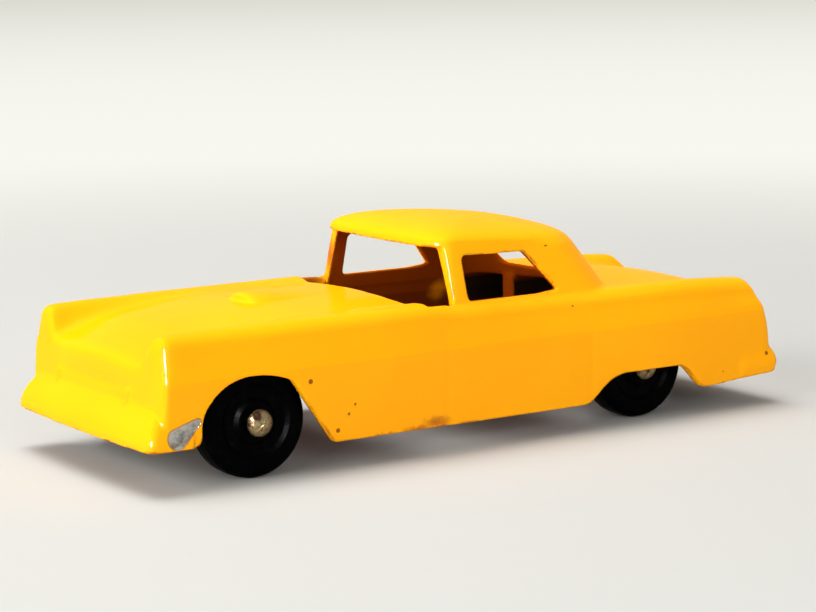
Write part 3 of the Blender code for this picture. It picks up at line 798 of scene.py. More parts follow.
@dataclass(frozen=True)
class AxleSet:
    """One axle pin with its two wheels and the posts that carry it."""

    end: str
    x: float
    tip: float
    wheel_radius: float = 0.00555
    wheel_width: float = 0.0034
    pin_radius: float = 0.0009
    head_radius: float = 0.00135
    head_height: float = 0.0008
    head_gap: float = 0.0006
    bore_clearance: float = 0.0001
    post_gap: float = 0.00015
    post_thickness: float = 0.0020
    post_width: float = 0.0080
    post_toe: float = 0.0006
    post_rounding: float = 0.8
    tyre_rounding: float = 0.0008
    dish_depth: float = 0.0004
    dish_radius: float = 0.0037
    hub_radius: float = 0.0019
    soft_edge: float = 0.00012
    mould_line: float = 0.00005
    facets: tuple[int, int] = (3, 5)
    facet_shift: float = 9.0
    facet_depth: float = 0.12
    head_end: float = 2.0
    head_steps: int = 14
    tyre_steps: int = 12
    edge_steps: int = 4
    bore_steps: int = 48
    turn_steps: int = 128

    @property
    def head_base(self) -> float:
        """Where the domed heads start, measured from the middle of the car."""
        return self.tip - self.head_height

    @property
    def wheel_outer(self) -> float:
        """The outer face of the wheels."""
        return self.head_base - self.head_gap

    @property
    def wheel_middle(self) -> float:
        """The middle of the wheels' width."""
        return self.wheel_outer - self.wheel_width / 2

    @property
    def post_outer(self) -> float:
        """The outer face of the posts."""
        return self.wheel_outer - self.wheel_width - self.post_gap

    @property
    def bore(self) -> float:
        """Radius of the holes that the pin passes through."""
        return self.pin_radius + self.bore_clearance

    def post(self, body: LowerBody, wall: float) -> list[Flat]:
        """Side view of a post, from inside the upper skin to its rounded toe.

        Args:
            body: The lower body that the post hangs in.
            wall: Thickness of its metal.

        Returns:
            The outline's points.
        """
        side = self.post_width / 2
        toe = self.wheel_radius - self.bore - self.post_toe
        inner = self.post_outer - self.post_thickness
        spots = [(self.x + step, y) for step in (-side, side) for y in (inner, self.post_outer)]
        top = min(body.top_height(x, y) for x, y in spots) - wall / 2
        radius = side * self.post_rounding
        left = self.x - side
        right = self.x + side
        return rounded([(left, top, 0), (left, toe, radius), (right, toe, radius), (right, top, 0)])

    def wheel_profile(self) -> list[Flat]:
        """Section of a left wheel about its middle, with soft moulded edges.

        Returns:
            Pairs of place along the axle and radius.
        """
        outer = self.wheel_width / 2
        dish = outer - self.dish_depth
        soft = self.soft_edge
        round_off = self.tyre_rounding
        shoulder = self.wheel_radius - round_off
        corners = [
            (-outer, self.bore, 0),
            (outer, self.bore, soft),
            (outer, self.hub_radius, soft),
            (dish, self.hub_radius + self.dish_depth, 2 * soft),
            (dish, self.dish_radius - self.dish_depth, 2 * soft),
            (outer, self.dish_radius, soft),
        ]
        tread = arc((outer - round_off, shoulder), (round_off, round_off), 0, 90, self.tyre_steps)
        back = arc((round_off - outer, shoulder), (round_off, round_off), 90, 180, self.tyre_steps)
        ridge = [(2 * soft, self.wheel_radius), (0.0, self.wheel_radius), (-2 * soft, self.wheel_radius)]
        ring = [(y, r - self.mould_line if y != 0.0 else r) for y, r in tread + ridge + back]
        return rounded(corners + [(y, r, 0) for y, r in ring], self.edge_steps)

    def build_wheel(self, side_name: str, side: int) -> bpy.types.Object:
        """One solid wheel.

        Args:
            side_name: Which side of the car it is on.
            side: 1 for the left side and -1 for the right.

        Returns:
            The wheel's mesh object.
        """
        profile = [(side * y, r) for y, r in self.wheel_profile()]
        centre = (self.x, side * self.wheel_middle, self.wheel_radius)
        wheel = Bench.lathe(f"{self.end}_{side_name}_solid_wheel", profile, centre, self.turn_steps)
        Shading.soft(wheel)
        depth = self.wheel_outer - self.dish_depth / 2
        Marks.write(wheel, "dish", lambda place, normal: (side * place[:, 1] < depth).astype(float))
        return wheel

    def build_pin(self) -> bpy.types.Object:
        """The steel pin with a domed, peened head at each end.

        Returns:
            The pin's mesh object.
        """
        radii = (self.head_height, self.head_radius)
        head = arc((self.head_base, 0.0), radii, 90, self.head_end, self.head_steps)
        half = [(self.head_base, self.pin_radius)] + head
        profile = [(-y, r) for y, r in reversed(half)] + half
        rings = []
        for y, radius in profile:
            turn = arc((self.x, self.wheel_radius), (radius, radius), 0, 360, self.turn_steps // 2)[:-1]
            rings.append([(x, y, z) for x, z in turn])
        pin = Bench.tube(f"{self.end}_axle_pin", rings)
        self.peen(pin)
        Shading.soft(pin)
        return pin

    def peen(self, pin: bpy.types.Object) -> None:
        """Presses a few shallow hammer facets into both heads.

        Args:
            pin: The pin's mesh object.
        """
        broad, narrow = self.facets
        for vertex in pin.data.vertices:
            out = abs(vertex.co.y) - self.head_base
            if out <= 0:
                continue
            turn = math.atan2(vertex.co.z - self.wheel_radius, vertex.co.x - self.x)
            dent = 0.5 + 0.5 * math.sin(broad * turn + self.facet_shift * self.x) * math.cos(narrow * turn)
            vertex.co.y -= math.copysign(self.facet_depth * out * dent, vertex.co.y)


class Shading:
    """How finished meshes are shaded."""

    @staticmethod
    def soft(item: bpy.types.Object, angle: float = 40.0) -> None:
        """Shades round faces smooth and keeps real edges."""
        Bench.pick(item)
        bpy.ops.object.shade_smooth_by_angle(angle=math.radians(angle))


class Marks:
    """Values kept on a mesh's points for its finish to read."""

    least_bend = 500.0
    bend_range = 1100.0
    least_square = 1e-14

    @staticmethod
    def points(item: bpy.types.Object) -> tuple[np.ndarray, np.ndarray]:
        """Places and normals of a mesh's points.

        Args:
            item: The object.

        Returns:
            The places and the normals, one row for each point.
        """
        count = len(item.data.vertices)
        place = np.empty(count * 3)
        normal = np.empty(count * 3)
        item.data.vertices.foreach_get("co", place)
        item.data.vertices.foreach_get("normal", normal)
        return place.reshape(-1, 3), normal.reshape(-1, 3)

    @staticmethod
    def write(
        item: bpy.types.Object, name: str, rule: Callable[[np.ndarray, np.ndarray], np.ndarray]
    ) -> None:
        """Stores a value on each point.

        Args:
            item: The object.
            name: Name of the stored value.
            rule: Gives the values from the places and the normals of the points.
        """
        place, normal = Marks.points(item)
        stored = item.data.attributes.new(name, "FLOAT", "POINT")
        stored.data.foreach_set("value", rule(place, normal).astype(np.float32))

    @staticmethod
    def sharpness(item: bpy.types.Object) -> np.ndarray:
        """How tightly the surface bends outward at each point.

        Args:
            item: The object.

        Returns:
            A value for each point, from 0 on flat metal to 1 on an edge.
        """
        place, normal = Marks.points(item)
        pairs = np.empty(len(item.data.edges) * 2, dtype=np.int64)
        item.data.edges.foreach_get("vertices", pairs)
        first, second = pairs[::2], pairs[1::2]
        step = place[second] - place[first]
        square = np.maximum((step * step).sum(1), Marks.least_square)
        bend = ((normal[second] - normal[first]) * step).sum(1) / square
        total = np.zeros(len(place))
        count = np.zeros(len(place))
        for ends in (first, second):
            np.add.at(total, ends, bend)
            np.add.at(count, ends, 1)
        value = total / np.maximum(count, 1)
        return np.clip((value - Marks.least_bend) / Marks.bend_range, 0, 1)


@dataclass(frozen=True)
class Casting:
    """The one-piece casting: skin, hollow, openings, arches, bumpers, relief and axle posts."""

    body: LowerBody
    cabin: Cabin
    axles: tuple[AxleSet, ...]
    wall: float = 0.0010
    reach: float = 0.0182
    front_x: float = 0.0386
    sill: float = 0.00275
    nose_foot: float = 0.0042
    tail_foot: float = 0.0037
    skirt_margin: float = 0.0040
    arch_fillet: float = 0.0012
    arch_shift: float = 0.0011
    arch_ahead: float = 0.00545
    arch_behind: float = 0.0074
    arch_rise: float = 0.00475
    arch_sweep: Flat = (100, 125)
    arch_steps: tuple[int, int] = (16, 12)
    arch_length: float = 0.0090
    rear_arch: tuple[float, float, float, float] = (0.0085, 0.0054, -0.0037, -0.0065)
    rear_arch_rise: float = 0.00005
    grille_height: float = 0.0097
    grille_radii: Flat = (0.0085, 0.0010)
    grille_depth: float = 0.0001
    grille_steps: int = 64
    voxel: float = 0.00014
    quick_voxel: float = 0.00026
    smoothing: int = 9
    triangles: int = 190000
    bumper_overhang: float = 0.00015
    bumper_radii: Flat = (0.0009, 0.0006)
    # Pairs of height and how far the bumper's face is set back there.
    front_rows: tuple[Flat, ...] = (
        (0.0034, 0.0001),
        (0.0046, 0.0),
        (0.0056, 0.0002),
        (0.0064, 0.00055),
        (0.0071, 0.0010),
        (0.0079, 0.0016),
    )
    rear_rows: tuple[Flat, ...] = (
        (0.0029, 0.0004),
        (0.0036, 0.0001),
        (0.0045, -0.0001),
        (0.0055, 0.0001),
        (0.0064, 0.0007),
        (0.0072, 0.0013),
    )
    guard_y: float = 0.0073
    guard_foot: float = 0.0072
    guard_top: float = 0.0086
    guard_eggs: int = 3
    guard_radii: Point = (0.00038, 0.00042, 0.0008)
    scoop_setback: float = 0.0182
    scoop_half: float = 0.0029
    scoop_rise: float = 0.0009
    scoop_mouth: float = 0.06
    scoop_spread: float = 1.5
    scoop_steps: int = 36
    headlamp: Flat = (0.0114, 0.0121)
    headlamp_radii: Point = (0.0006, 0.0016, 0.0016)
    tail_lamp: Flat = (0.0118, 0.0096)
    tail_lamp_radii: Point = (0.0006, 0.0015, 0.0015)
    lamp_sink: float = 0.0005
    pad_setbacks: Flat = (0.0230, 0.0085)
    pad_y: float = 0.0050
    pad_radius: float = 0.0013
    pad_height: float = 0.0004
    pad_steps: int = 40
    softness: tuple[int, ...] = (2, 10, 12, 6, 5, 30)
    pillar_soft_reach: float = 1.4
    foot_soft_reach: Flat = (0.7, 1.2)
    crown_soft_start: float = 0.55
    window_reach: float = 1.8
    faint_edge: float = 0.2

    def nose_face(self, y: float, z: float) -> float:
        """Where the flat of the nose lies at a place across and up the car."""
        return self.body.leaned(self.body.nose_x, y, z)

    def bumpers(self) -> list[bpy.types.Object]:
        """Both bumpers.

        Returns:
            Their closed solids.
        """
        half = self.body.half + self.bumper_overhang
        rear_half = half - self.body.tail_narrowing
        front = Bumper(half, self.bumper_radii[0], self.body.nose_bow, self.front_rows)
        rear = Bumper(rear_half, self.bumper_radii[1], self.body.tail_bow, self.rear_rows)
        return [Bench.tube("front_bumper", front.rings(1)), Bench.tube("rear_bumper", rear.rings(-1))]

    def scoop(self) -> bpy.types.Object:
        """The low air scoop on the hood, blunt in front and running out to a ridge that ends at the cowl.

        Returns:
            The closed solid.
        """
        front = self.front_x - self.scoop_setback
        length = front - self.body.cowl[0]
        rings = []
        for step in range(self.scoop_steps + 1):
            share = step / self.scoop_steps
            x = front - length * share**self.scoop_spread
            turn = blend(self.scoop_mouth, 1 - self.scoop_mouth, math.sqrt(share))
            swell = math.sqrt(math.sin(math.pi * turn))
            base = self.body.middle_height(x) - self.wall / 2
            top = self.scoop_rise * swell * (1 - ease(share)) + self.wall / 2
            over = arc((0.0, base), (self.scoop_half * swell, top), 0, 180, self.scoop_steps)
            rings.append([(x, y, z) for y, z in over])
        return Bench.tube("hood_scoop", rings)

    def guards(self) -> list[bpy.types.Object]:
        """The two upright bumper guards, each a row of eggs up the face of the nose.

        Returns:
            The eggs.
        """
        made = []
        for side in (1, -1):
            for step in range(self.guard_eggs):
                z = blend(self.guard_foot, self.guard_top, step / (self.guard_eggs - 1))
                x = self.nose_face(self.guard_y, z)
                made.append(Bench.egg("guard", (x, side * self.guard_y, z), self.guard_radii))
        return made

    def bosses(self) -> list[bpy.types.Object]:
        """Headlamps and tail lamps on both sides.

        Returns:
            The closed solids.
        """
        lamp, tail = self.headlamp, self.tail_lamp
        lamp_x = self.nose_face(*lamp) - self.lamp_sink
        tail_x = self.body.leaned(self.body.tail_x, *tail) + self.lamp_sink
        made = []
        for side in (1, -1):
            places = (
                ((lamp_x, side * lamp[0], lamp[1]), self.headlamp_radii),
                ((tail_x, side * tail[0], tail[1]), self.tail_lamp_radii),
            )
            made += [Bench.egg("boss", centre, radii) for centre, radii in places]
        return made

    def skirt(self) -> list[Flat]:
        """Side view of everything under the body: both arches, the sills and the lifted ends.

        Returns:
            The outline's points.
        """
        front, rear = self.axles
        axle_height = front.wheel_radius
        middle = (front.x + self.arch_shift, axle_height)
        ahead = arc(middle, (self.arch_ahead, self.arch_rise), 0, 90, self.arch_steps[0])
        behind = arc(middle, (self.arch_behind, self.arch_rise), *self.arch_sweep, self.arch_steps[1])
        rear_top = axle_height + self.rear_arch_rise
        foot_front, top_front, top_rear, foot_rear = (rear.x + place for place in self.rear_arch)
        fillet = self.arch_fillet
        far = self.front_x + self.skirt_margin
        below = -self.wall
        corners = [
            (far, below, 0),
            (far, self.nose_foot, 0),
            (middle[0] + self.arch_ahead, self.nose_foot, fillet / 2),
        ]
        corners += [(x, z, 0) for x, z in ahead + behind]
        corners += [
            (middle[0] - self.arch_length, self.sill, fillet / 2),
            (foot_front, self.sill, fillet / 2),
            (top_front, rear_top, 4 * fillet),
            (top_rear, rear_top, 2 * fillet),
            (foot_rear, self.sill, 1.5 * fillet),
            (-far, self.tail_foot, 0),
            (-far, below, 0),
        ]
        return rounded(corners)

    def openings(self) -> list[bpy.types.Object]:
        """Cutters for the hollow inside, the arches, the windows and the grille.

        Returns:
            The closed solids.
        """
        cabin = self.cabin
        reach = self.reach
        foot = cabin.belt - cabin.belt_depth / 2
        rear_front = cabin.pillar_x - cabin.length / 2
        grille = arc((0.0, self.grille_height), self.grille_radii, 0, 360, self.grille_steps)[:-1]
        grille_back = self.nose_face(0.0, self.grille_height) - self.grille_depth
        far = self.front_x + self.wall
        return [
            Bench.tube("hollow", replace(self.body, hollow=True).rings(self.wall)),
            Bench.tube("cabin_hollow", cabin.rings(self.wall)),
            Bench.prism("skirt", self.skirt(), View.SIDE, -reach, reach),
            Bench.prism("side_windows", cabin.side_windows(), View.SIDE, -reach, reach),
            Bench.prism("windscreen", cabin.windscreen(), View.PLAN, foot, cabin.header),
            Bench.prism("pillar_front", cabin.pillar_front(), View.SIDE, -reach, reach),
            Bench.prism("rear_window", cabin.rear_window(), View.FRONT, self.body.tail_x, rear_front),
            Bench.prism("grille", grille, View.FRONT, grille_back, far),
        ]

    def add_posts(self, casting: bpy.types.Object, axle: AxleSet) -> None:
        """Joins an axle's two posts to the casting and drills them.

        Args:
            casting: The casting's mesh object.
            axle: The axle that the posts carry.
        """
        outline = axle.post(self.body, self.wall)
        inner = axle.post_outer - axle.post_thickness
        for side in (1, -1):
            post = Bench.prism("post", outline, View.SIDE, side * inner, side * axle.post_outer)
            Bench.combine(casting, post, Joining.ADD)
        circle = arc((axle.x, axle.wheel_radius), (axle.bore, axle.bore), 0, 360, axle.bore_steps)[:-1]
        reach = axle.post_outer + axle.post_gap
        Bench.combine(casting, Bench.prism("hole", circle, View.SIDE, -reach, reach), Joining.CUT)

    def add_pads(self, casting: bpy.types.Object) -> None:
        """Joins the round pads where the mould's pins push the casting out.

        Args:
            casting: The casting's mesh object.
        """
        front, rear = self.pad_setbacks
        for x in (self.front_x - front, rear - self.front_x):
            for y in (self.pad_y, -self.pad_y):
                circle = arc((x, y), (self.pad_radius, self.pad_radius), 0, 360, self.pad_steps)[:-1]
                low = self.body.top_height(x, y, self.wall) - self.pad_height
                high = self.body.top_height(x, y) - self.wall / 2
                Bench.combine(casting, Bench.prism("pad", circle, View.PLAN, low, high), Joining.ADD)

    def build(self) -> bpy.types.Object:
        """The finished casting, with every edge rounded as under thick enamel.

        Returns:
            The casting's mesh object.
        """
        casting = Bench.tube("painted_casting", self.body.rings(0.0))
        cabin = Bench.tube("cabin", self.cabin.rings(0.0))
        for piece in [cabin, *self.bumpers(), *self.guards(), self.scoop(), *self.bosses()]:
            Bench.combine(casting, piece, Joining.ADD)
        for cutter in self.openings():
            Bench.combine(casting, cutter, Joining.CUT)
        for axle in self.axles:
            self.add_posts(casting, axle)
        self.add_pads(casting)
        self.soften(casting)
        self.mark(casting)
        return casting

    def soften(self, casting: bpy.types.Object) -> None:
        """Rounds every edge and thins the mesh where it is flat.

        Args:
            casting: The casting's mesh object.
        """
        size = self.voxel
        rounds = max(2, round(self.smoothing * (self.voxel / size) ** 2))
        Bench.modify(casting, "REMESH", mode="VOXEL", voxel_size=size)
        Bench.modify(casting, "SMOOTH", factor=0.5, iterations=rounds)
        place, _ = Marks.points(casting)
        for area, times in self.soft_areas(place):
            group = casting.vertex_groups.new(name="soft")
            group.add([int(index) for index in np.nonzero(area)[0]], 1.0, "REPLACE")
            again = {"iterations": times * rounds, "vertex_group": group.name}
            Bench.modify(casting, "SMOOTH", factor=0.5, **again)
        ratio = min(1.0, self.triangles / (2 * len(casting.data.polygons)))
        Bench.modify(casting, "DECIMATE", ratio=ratio)
        Bench.pick(casting)
        bpy.ops.object.shade_smooth()

    def soft_areas(self, place: np.ndarray) -> list[tuple[np.ndarray, int]]:
        """Where the casting is softer: pillars, headlamp pods, nose, the cabin's foot, tail and crown.

        Args:
            place: Places of the casting's points.

        Returns:
            A mask of points for each area, with how many times as soft it is.
        """
        body, cabin = self.body, self.cabin
        x, y, z = place[:, 0], abs(place[:, 1]), place[:, 2]
        pillars = (z > cabin.belt) & (z < cabin.roof_edge) & (y > cabin.rear_half)
        pillars &= (x > cabin.pillar_x - self.pillar_soft_reach * cabin.pillar_width) & (x < cabin.front_x)
        pods = (x > body.front_axle_x) & (z > body.crease + body.shoulder / 2)
        nose = (x > body.hood_seam_x) & (z > self.grille_height)
        nose &= y < body.half - body.tumblehome - body.shoulder / 2
        foot = (z > body.crest_height(cabin.pillar_x) - self.wall) & (z < cabin.belt + 2 * self.wall)
        foot_front, foot_rear = (cabin.front_x - share * cabin.length for share in self.foot_soft_reach)
        foot &= (x < foot_front) & (x > foot_rear)
        tail = (x < body.tail_x + body.tail_curve_from) & (z > self.tail_foot) & (z < body.crease)
        crown = x < cabin.front_x - self.crown_soft_start * cabin.length
        crown &= z > cabin.rear_top + self.wall / 4
        return list(zip((pillars, pods, nose, foot, tail, crown), self.softness))

    def mark(self, casting: bpy.types.Object) -> None:
        """Stores where the casting has edges and where its inside is.

        Args:
            casting: The casting's mesh object.
        """
        edge = Marks.sharpness(casting)

        def worn(place: np.ndarray, normal: np.ndarray) -> np.ndarray:
            """Edges that wear, in full low down and round the windows and faintly elsewhere; low along the
            arches the darkening also stands for painted shade.

            Args:
                place: Places of the casting's points.
                normal: Their normals, which are not used.

            Returns:
                A value for each point.
            """
            x, z = place[:, 0], place[:, 2]
            windows = (abs(x) < self.window_reach * self.cabin.front_x) & (z > self.cabin.belt - self.wall)
            return edge * np.where((z < self.cabin.belt / 2) | windows, 1.0, self.faint_edge)

        Marks.write(casting, "edge", worn)

        def inside(place: np.ndarray, normal: np.ndarray) -> np.ndarray:
            """1 on the inner faces of the casting and 0 on its outer ones."""
            return (self.within_hollow(place) | self.within_cabin(place, normal)).astype(float)

        Marks.write(casting, "inside", inside)

    def within_hollow(self, place: np.ndarray) -> np.ndarray:
        """Which points lie deeper than two thirds of the wall under the skin of the lower body.

        Args:
            place: Places of the casting's points.

        Returns:
            A mask of the points.
        """
        body = self.body
        depth = self.wall * 2 / 3
        found = []
        for place_x, y, z in place.tolist():
            x = body.station(place_x, y, z)
            low = 1 - clamp((z - body.foot) / (body.crease - body.foot))
            high = clamp((z - body.crease) / (body.crest_height(x) - body.shoulder - body.crease))
            side = body.half_width(x) - body.tuck * low**2 - body.tumblehome * high - depth
            between = body.tail_x + depth < x < body.nose_x - depth
            found.append(between and abs(y) < side and z < body.top_height(x, y) - depth)
        return np.array(found)

    def within_cabin(self, place: np.ndarray, normal: np.ndarray) -> np.ndarray:
        """Which points lie on the inner side of the roof and its pillars.

        Args:
            place: Places of the casting's points.
            normal: Their normals.

        Returns:
            A mask of the points.
        """
        cabin = self.cabin
        x, y, z = place[:, 0], abs(place[:, 1]), place[:, 2]
        rear_x = cabin.front_x - cabin.length
        middle = np.array([(cabin.front_x + rear_x) / 2, 0.0, (cabin.belt + cabin.roof_edge) / 2])
        facing_in = ((place - middle) * normal).sum(1) < 0
        share = (z - cabin.belt) / (cabin.roof_edge - cabin.belt)
        half = cabin.half - cabin.belt_inset - cabin.lean * share
        rear = rear_x + cabin.rear_rake * share + cabin.rear_bow * (y / half) ** 2
        ahead = np.maximum(rear + cabin.rear_radius - x, 0)
        aside = np.maximum(y - half + cabin.rear_radius, 0)
        enclosed = np.hypot(ahead, aside) < cabin.rear_radius - cabin.wall / 2
        under_sill = -2 * cabin.wall / (cabin.roof_edge - cabin.belt)
        return facing_in & (share > under_sill) & enclosed & (x < cabin.front_x)


class Graph:
    """Shorthand for building a node tree."""

    def __init__(self, tree: bpy.types.NodeTree) -> None:
        """Takes the tree to build in."""
        self.tree = tree

    def node(self, kind: str, **settings: object) -> bpy.types.Node:
        """A new node with its properties set.

        Args:
            kind: The node's type.
            settings: Values of its properties.

        Returns:
            The node.
        """
        made = self.tree.nodes.new(kind)
        for key, value in settings.items():
            setattr(made, key, value)
        return made

    def feed(self, target: Socket, source: object) -> None:
        """Links a socket to a target, or sets the target's own value.

        Args:
            target: The input socket.
            source: An output socket or a plain value.
        """
        if isinstance(source, bpy.types.NodeSocket):
            self.tree.links.new(source, target)
        else:
            target.default_value = source

    def sum(self, operation: str, first: object, second: object = 0.0, held: bool = False) -> Socket:
        """A Math node's result.

        Args:
            operation: What the node does.
            first: Its first value.
            second: Its second value.
            held: Whether the result is held between 0 and 1.

        Returns:
            The result.
        """
        made = self.node("ShaderNodeMath", operation=operation, use_clamp=held)
        self.feed(made.inputs[0], first)
        self.feed(made.inputs[1], second)
        return made.outputs[0]

    def vector(self, operation: str, first: object, second: object) -> bpy.types.Node:
        """A Vector Math node.

        Args:
            operation: What the node does.
            first: Its first vector.
            second: Its second vector.

        Returns:
            The node.
        """
        made = self.node("ShaderNodeVectorMath", operation=operation)
        self.feed(made.inputs[0], first)
        self.feed(made.inputs[1], second)
        return made

    def mix(self, share: object, first: object, second: object) -> Socket:
        """A colour between two colours.

        Args:
            share: How much of the second colour there is.
            first: The first colour.
            second: The second colour.

        Returns:
            The mixed colour.
        """
        made = self.node("ShaderNodeMix", data_type="RGBA")
        self.feed(made.inputs[0], share)
        for socket, value in zip((made.inputs[6], made.inputs[7]), (first, second)):
            self.feed(socket, (*value, 1.0) if isinstance(value, tuple) else value)
        return made.outputs[2]

    def noise(self, place: Socket, scale: float, detail: float = 3.0, rough: float = 0.5) -> bpy.types.Node:
        """A Noise Texture node.

        Args:
            place: The coordinates.
            scale: How fine it is.
            detail: How many finer layers it has.
            rough: How strong they are.

        Returns:
            The node.
        """
        made = self.node("ShaderNodeTexNoise")
        self.feed(made.inputs["Vector"], place)
        self.feed(made.inputs["Scale"], scale)
        self.feed(made.inputs["Detail"], detail)
        self.feed(made.inputs["Roughness"], rough)
        return made

    def range(
        self, value: Socket, low: object, high: object, start: float = 0.0, end: float = 1.0
    ) -> Socket:
        """A value eased from one range into another.

        Args:
            value: The value.
            low: Where its range starts.
            high: Where its range ends.
            start: The result at the low end.
            end: The result at the high end.

        Returns:
            The result.
        """
        made = self.node("ShaderNodeMapRange", interpolation_type="SMOOTHSTEP")
        self.feed(made.inputs["Value"], value)
        self.feed(made.inputs["From Min"], low)
        self.feed(made.inputs["From Max"], high)
        self.feed(made.inputs["To Min"], start)
        self.feed(made.inputs["To Max"], end)
        return made.outputs["Result"]

    def axis(self, place: Socket, name: str) -> Socket:
        """One number of a place.

        Args:
            place: The place.
            name: X, Y or Z.

        Returns:
            The number.
        """
        split = self.node("ShaderNodeSeparateXYZ")
        self.feed(split.inputs[0], place)
        return split.outputs[name]

    def mark(self, name: str) -> Socket:
        """A value that is stored on the mesh."""
        return self.node("ShaderNodeAttribute", attribute_name=name).outputs["Fac"]

    def seen(self) -> Socket:
        """Whether a ray comes from the camera, from a reflection or through the windows.

        Returns:
            1 for such a ray, and 0 for one that only carries light.
        """
        rays = self.node("ShaderNodeLightPath").outputs
        direct = self.sum("MAXIMUM", rays["Is Camera Ray"], rays["Is Glossy Ray"])
        return self.sum("MAXIMUM", direct, rays["Is Transmission Ray"])

    def group(self, tree: bpy.types.NodeTree, **values: object) -> Socket:
        """The first output of a shared node group.

        Args:
            tree: The group's tree.
            values: What its inputs take, by name, with _ for a space.

        Returns:
            The output socket.
        """
        made = self.node("ShaderNodeGroup", node_tree=tree)
        for key, value in values.items():
            self.feed(made.inputs[key.replace("_", " ")], value)
        return made.outputs[0]


class Effects:
    """Node groups that several finishes share."""

    rim_scale = 1500.0
    speck_core = 0.6
    grain_ratio = 6.0

    def __init__(self) -> None:
        """Builds each group once."""
        self.spot = self.ragged_spot()
        self.specks = self.scattered_specks()
        self.grain = self.fine_grain()

    @staticmethod
    def begin(
        name: str, inputs: dict[str, str], output: str
    ) -> tuple[Graph, bpy.types.Node, bpy.types.Node]:
        """Starts a group.

        Args:
            name: Name of the group.
            inputs: Socket types by input name.
            output: Name of its one value output.

        Returns:
            The graph, the group's input node and its output node.
        """
        tree = bpy.data.node_groups.new(name, "ShaderNodeTree")
        for key, kind in inputs.items():
            tree.interface.new_socket(key, in_out="INPUT", socket_type=f"NodeSocket{kind}")
        tree.interface.new_socket(output, in_out="OUTPUT", socket_type="NodeSocketFloat")
        graph = Graph(tree)
        return graph, graph.node("NodeGroupInput"), graph.node("NodeGroupOutput")

    def ragged_spot(self) -> bpy.types.NodeTree:
        """A mask for one spot with a ragged rim.

        Returns:
            The group's tree.
        """
        inputs = {key: "Vector" for key in ("Vector", "Centre", "Stretch")}
        inputs |= {key: "Float" for key in ("Radius", "Ragged", "Soft")}
        graph, given, result = self.begin("ragged_spot", inputs, "Mask")
        noise = graph.noise(given.outputs["Vector"], self.rim_scale)
        centred = graph.vector("SUBTRACT", noise.outputs["Color"], (0.5, 0.5, 0.5)).outputs[0]
        shift = graph.node("ShaderNodeVectorMath", operation="SCALE")
        graph.feed(shift.inputs[0], centred)
        graph.feed(shift.inputs["Scale"], given.outputs["Ragged"])
        moved = graph.vector("ADD", given.outputs["Vector"], shift.outputs[0]).outputs[0]
        offset = graph.vector("SUBTRACT", moved, given.outputs["Centre"]).outputs[0]
        scaled = graph.vector("DIVIDE", offset, given.outputs["Stretch"]).outputs[0]
        length = graph.node("ShaderNodeVectorMath", operation="LENGTH")
        graph.feed(length.inputs[0], scaled)
        firm = graph.sum("SUBTRACT", 1.0, given.outputs["Soft"])
        inner = graph.sum("MULTIPLY", given.outputs["Radius"], firm)
        mask = graph.range(length.outputs["Value"], inner, given.outputs["Radius"], 1.0, 0.0)
        graph.feed(result.inputs[0], mask)
        return graph.tree

    def scattered_specks(self) -> bpy.types.NodeTree:
        """A mask for tiny scattered specks.

        Returns:
            The group's tree.
        """
        inputs = {"Vector": "Vector", "Scale": "Float", "Share": "Float", "Size": "Float"}
        graph, given, result = self.begin("scattered_specks", inputs, "Mask")
        cells = graph.node("ShaderNodeTexVoronoi", feature="F1")
        graph.feed(cells.inputs["Vector"], given.outputs["Vector"])
        graph.feed(cells.inputs["Scale"], given.outputs["Scale"])
        chosen = graph.sum("LESS_THAN", cells.outputs["Color"], given.outputs["Share"])
        inner = graph.sum("MULTIPLY", given.outputs["Size"], self.speck_core)
        dot = graph.range(cells.outputs["Distance"], inner, given.outputs["Size"], 1.0, 0.0)
        graph.feed(result.inputs[0], graph.sum("MULTIPLY", chosen, dot))
        return graph.tree

    def fine_grain(self) -> bpy.types.NodeTree:
        """A height that varies gently at two scales.

        Returns:
            The group's tree.
        """
        inputs = {"Vector": "Vector", "Scale": "Float", "Fine": "Float"}
        graph, given, result = self.begin("fine_grain", inputs, "Height")
        broad = graph.noise(given.outputs["Vector"], given.outputs["Scale"], 2.0)
        fine_scale = graph.sum("MULTIPLY", given.outputs["Scale"], self.grain_ratio)
        small = graph.noise(given.outputs["Vector"], fine_scale, 2.0)
        share = graph.sum("MULTIPLY", small.outputs["Fac"], given.outputs["Fine"])
        graph.feed(result.inputs[0], graph.sum("ADD", broad.outputs["Fac"], share))
        return graph.tree


@dataclass(frozen=True)
class Chip:
    """One spot where a finish is lost, has staining or spray, or carries painted light or shade."""

    centre: Point
    radius: float
    stretch: Point = (1.0, 1.0, 1.0)
    ragged: float = 0.00010
    soft: float = 0.2

    def toward(self, tip: "Chip", share: float, wider: float = 0.0) -> "Chip":
        """A spot part of the way to another one, a little wider where asked."""
        centre = tuple(blend(a, b, share) for a, b in zip(self.centre, tip.centre))
        return replace(self, centre=centre, radius=blend(self.radius, tip.radius, share) + wider)


@dataclass(frozen=True)
class Mottle:
    """Cloudy noise, eased from a range of its values into another range."""

    scale: float
    low: float
    high: float
    detail: float = 3.0
    rough: float = 0.5
    start: float = 0.0
    end: float = 1.0

    def build(self, graph: Graph, place: Socket) -> Socket:
        """The eased noise at the object's coordinates."""
        noise = graph.noise(place, self.scale, self.detail, self.rough).outputs["Fac"]
        return graph.range(noise, self.low, self.high, self.start, self.end)


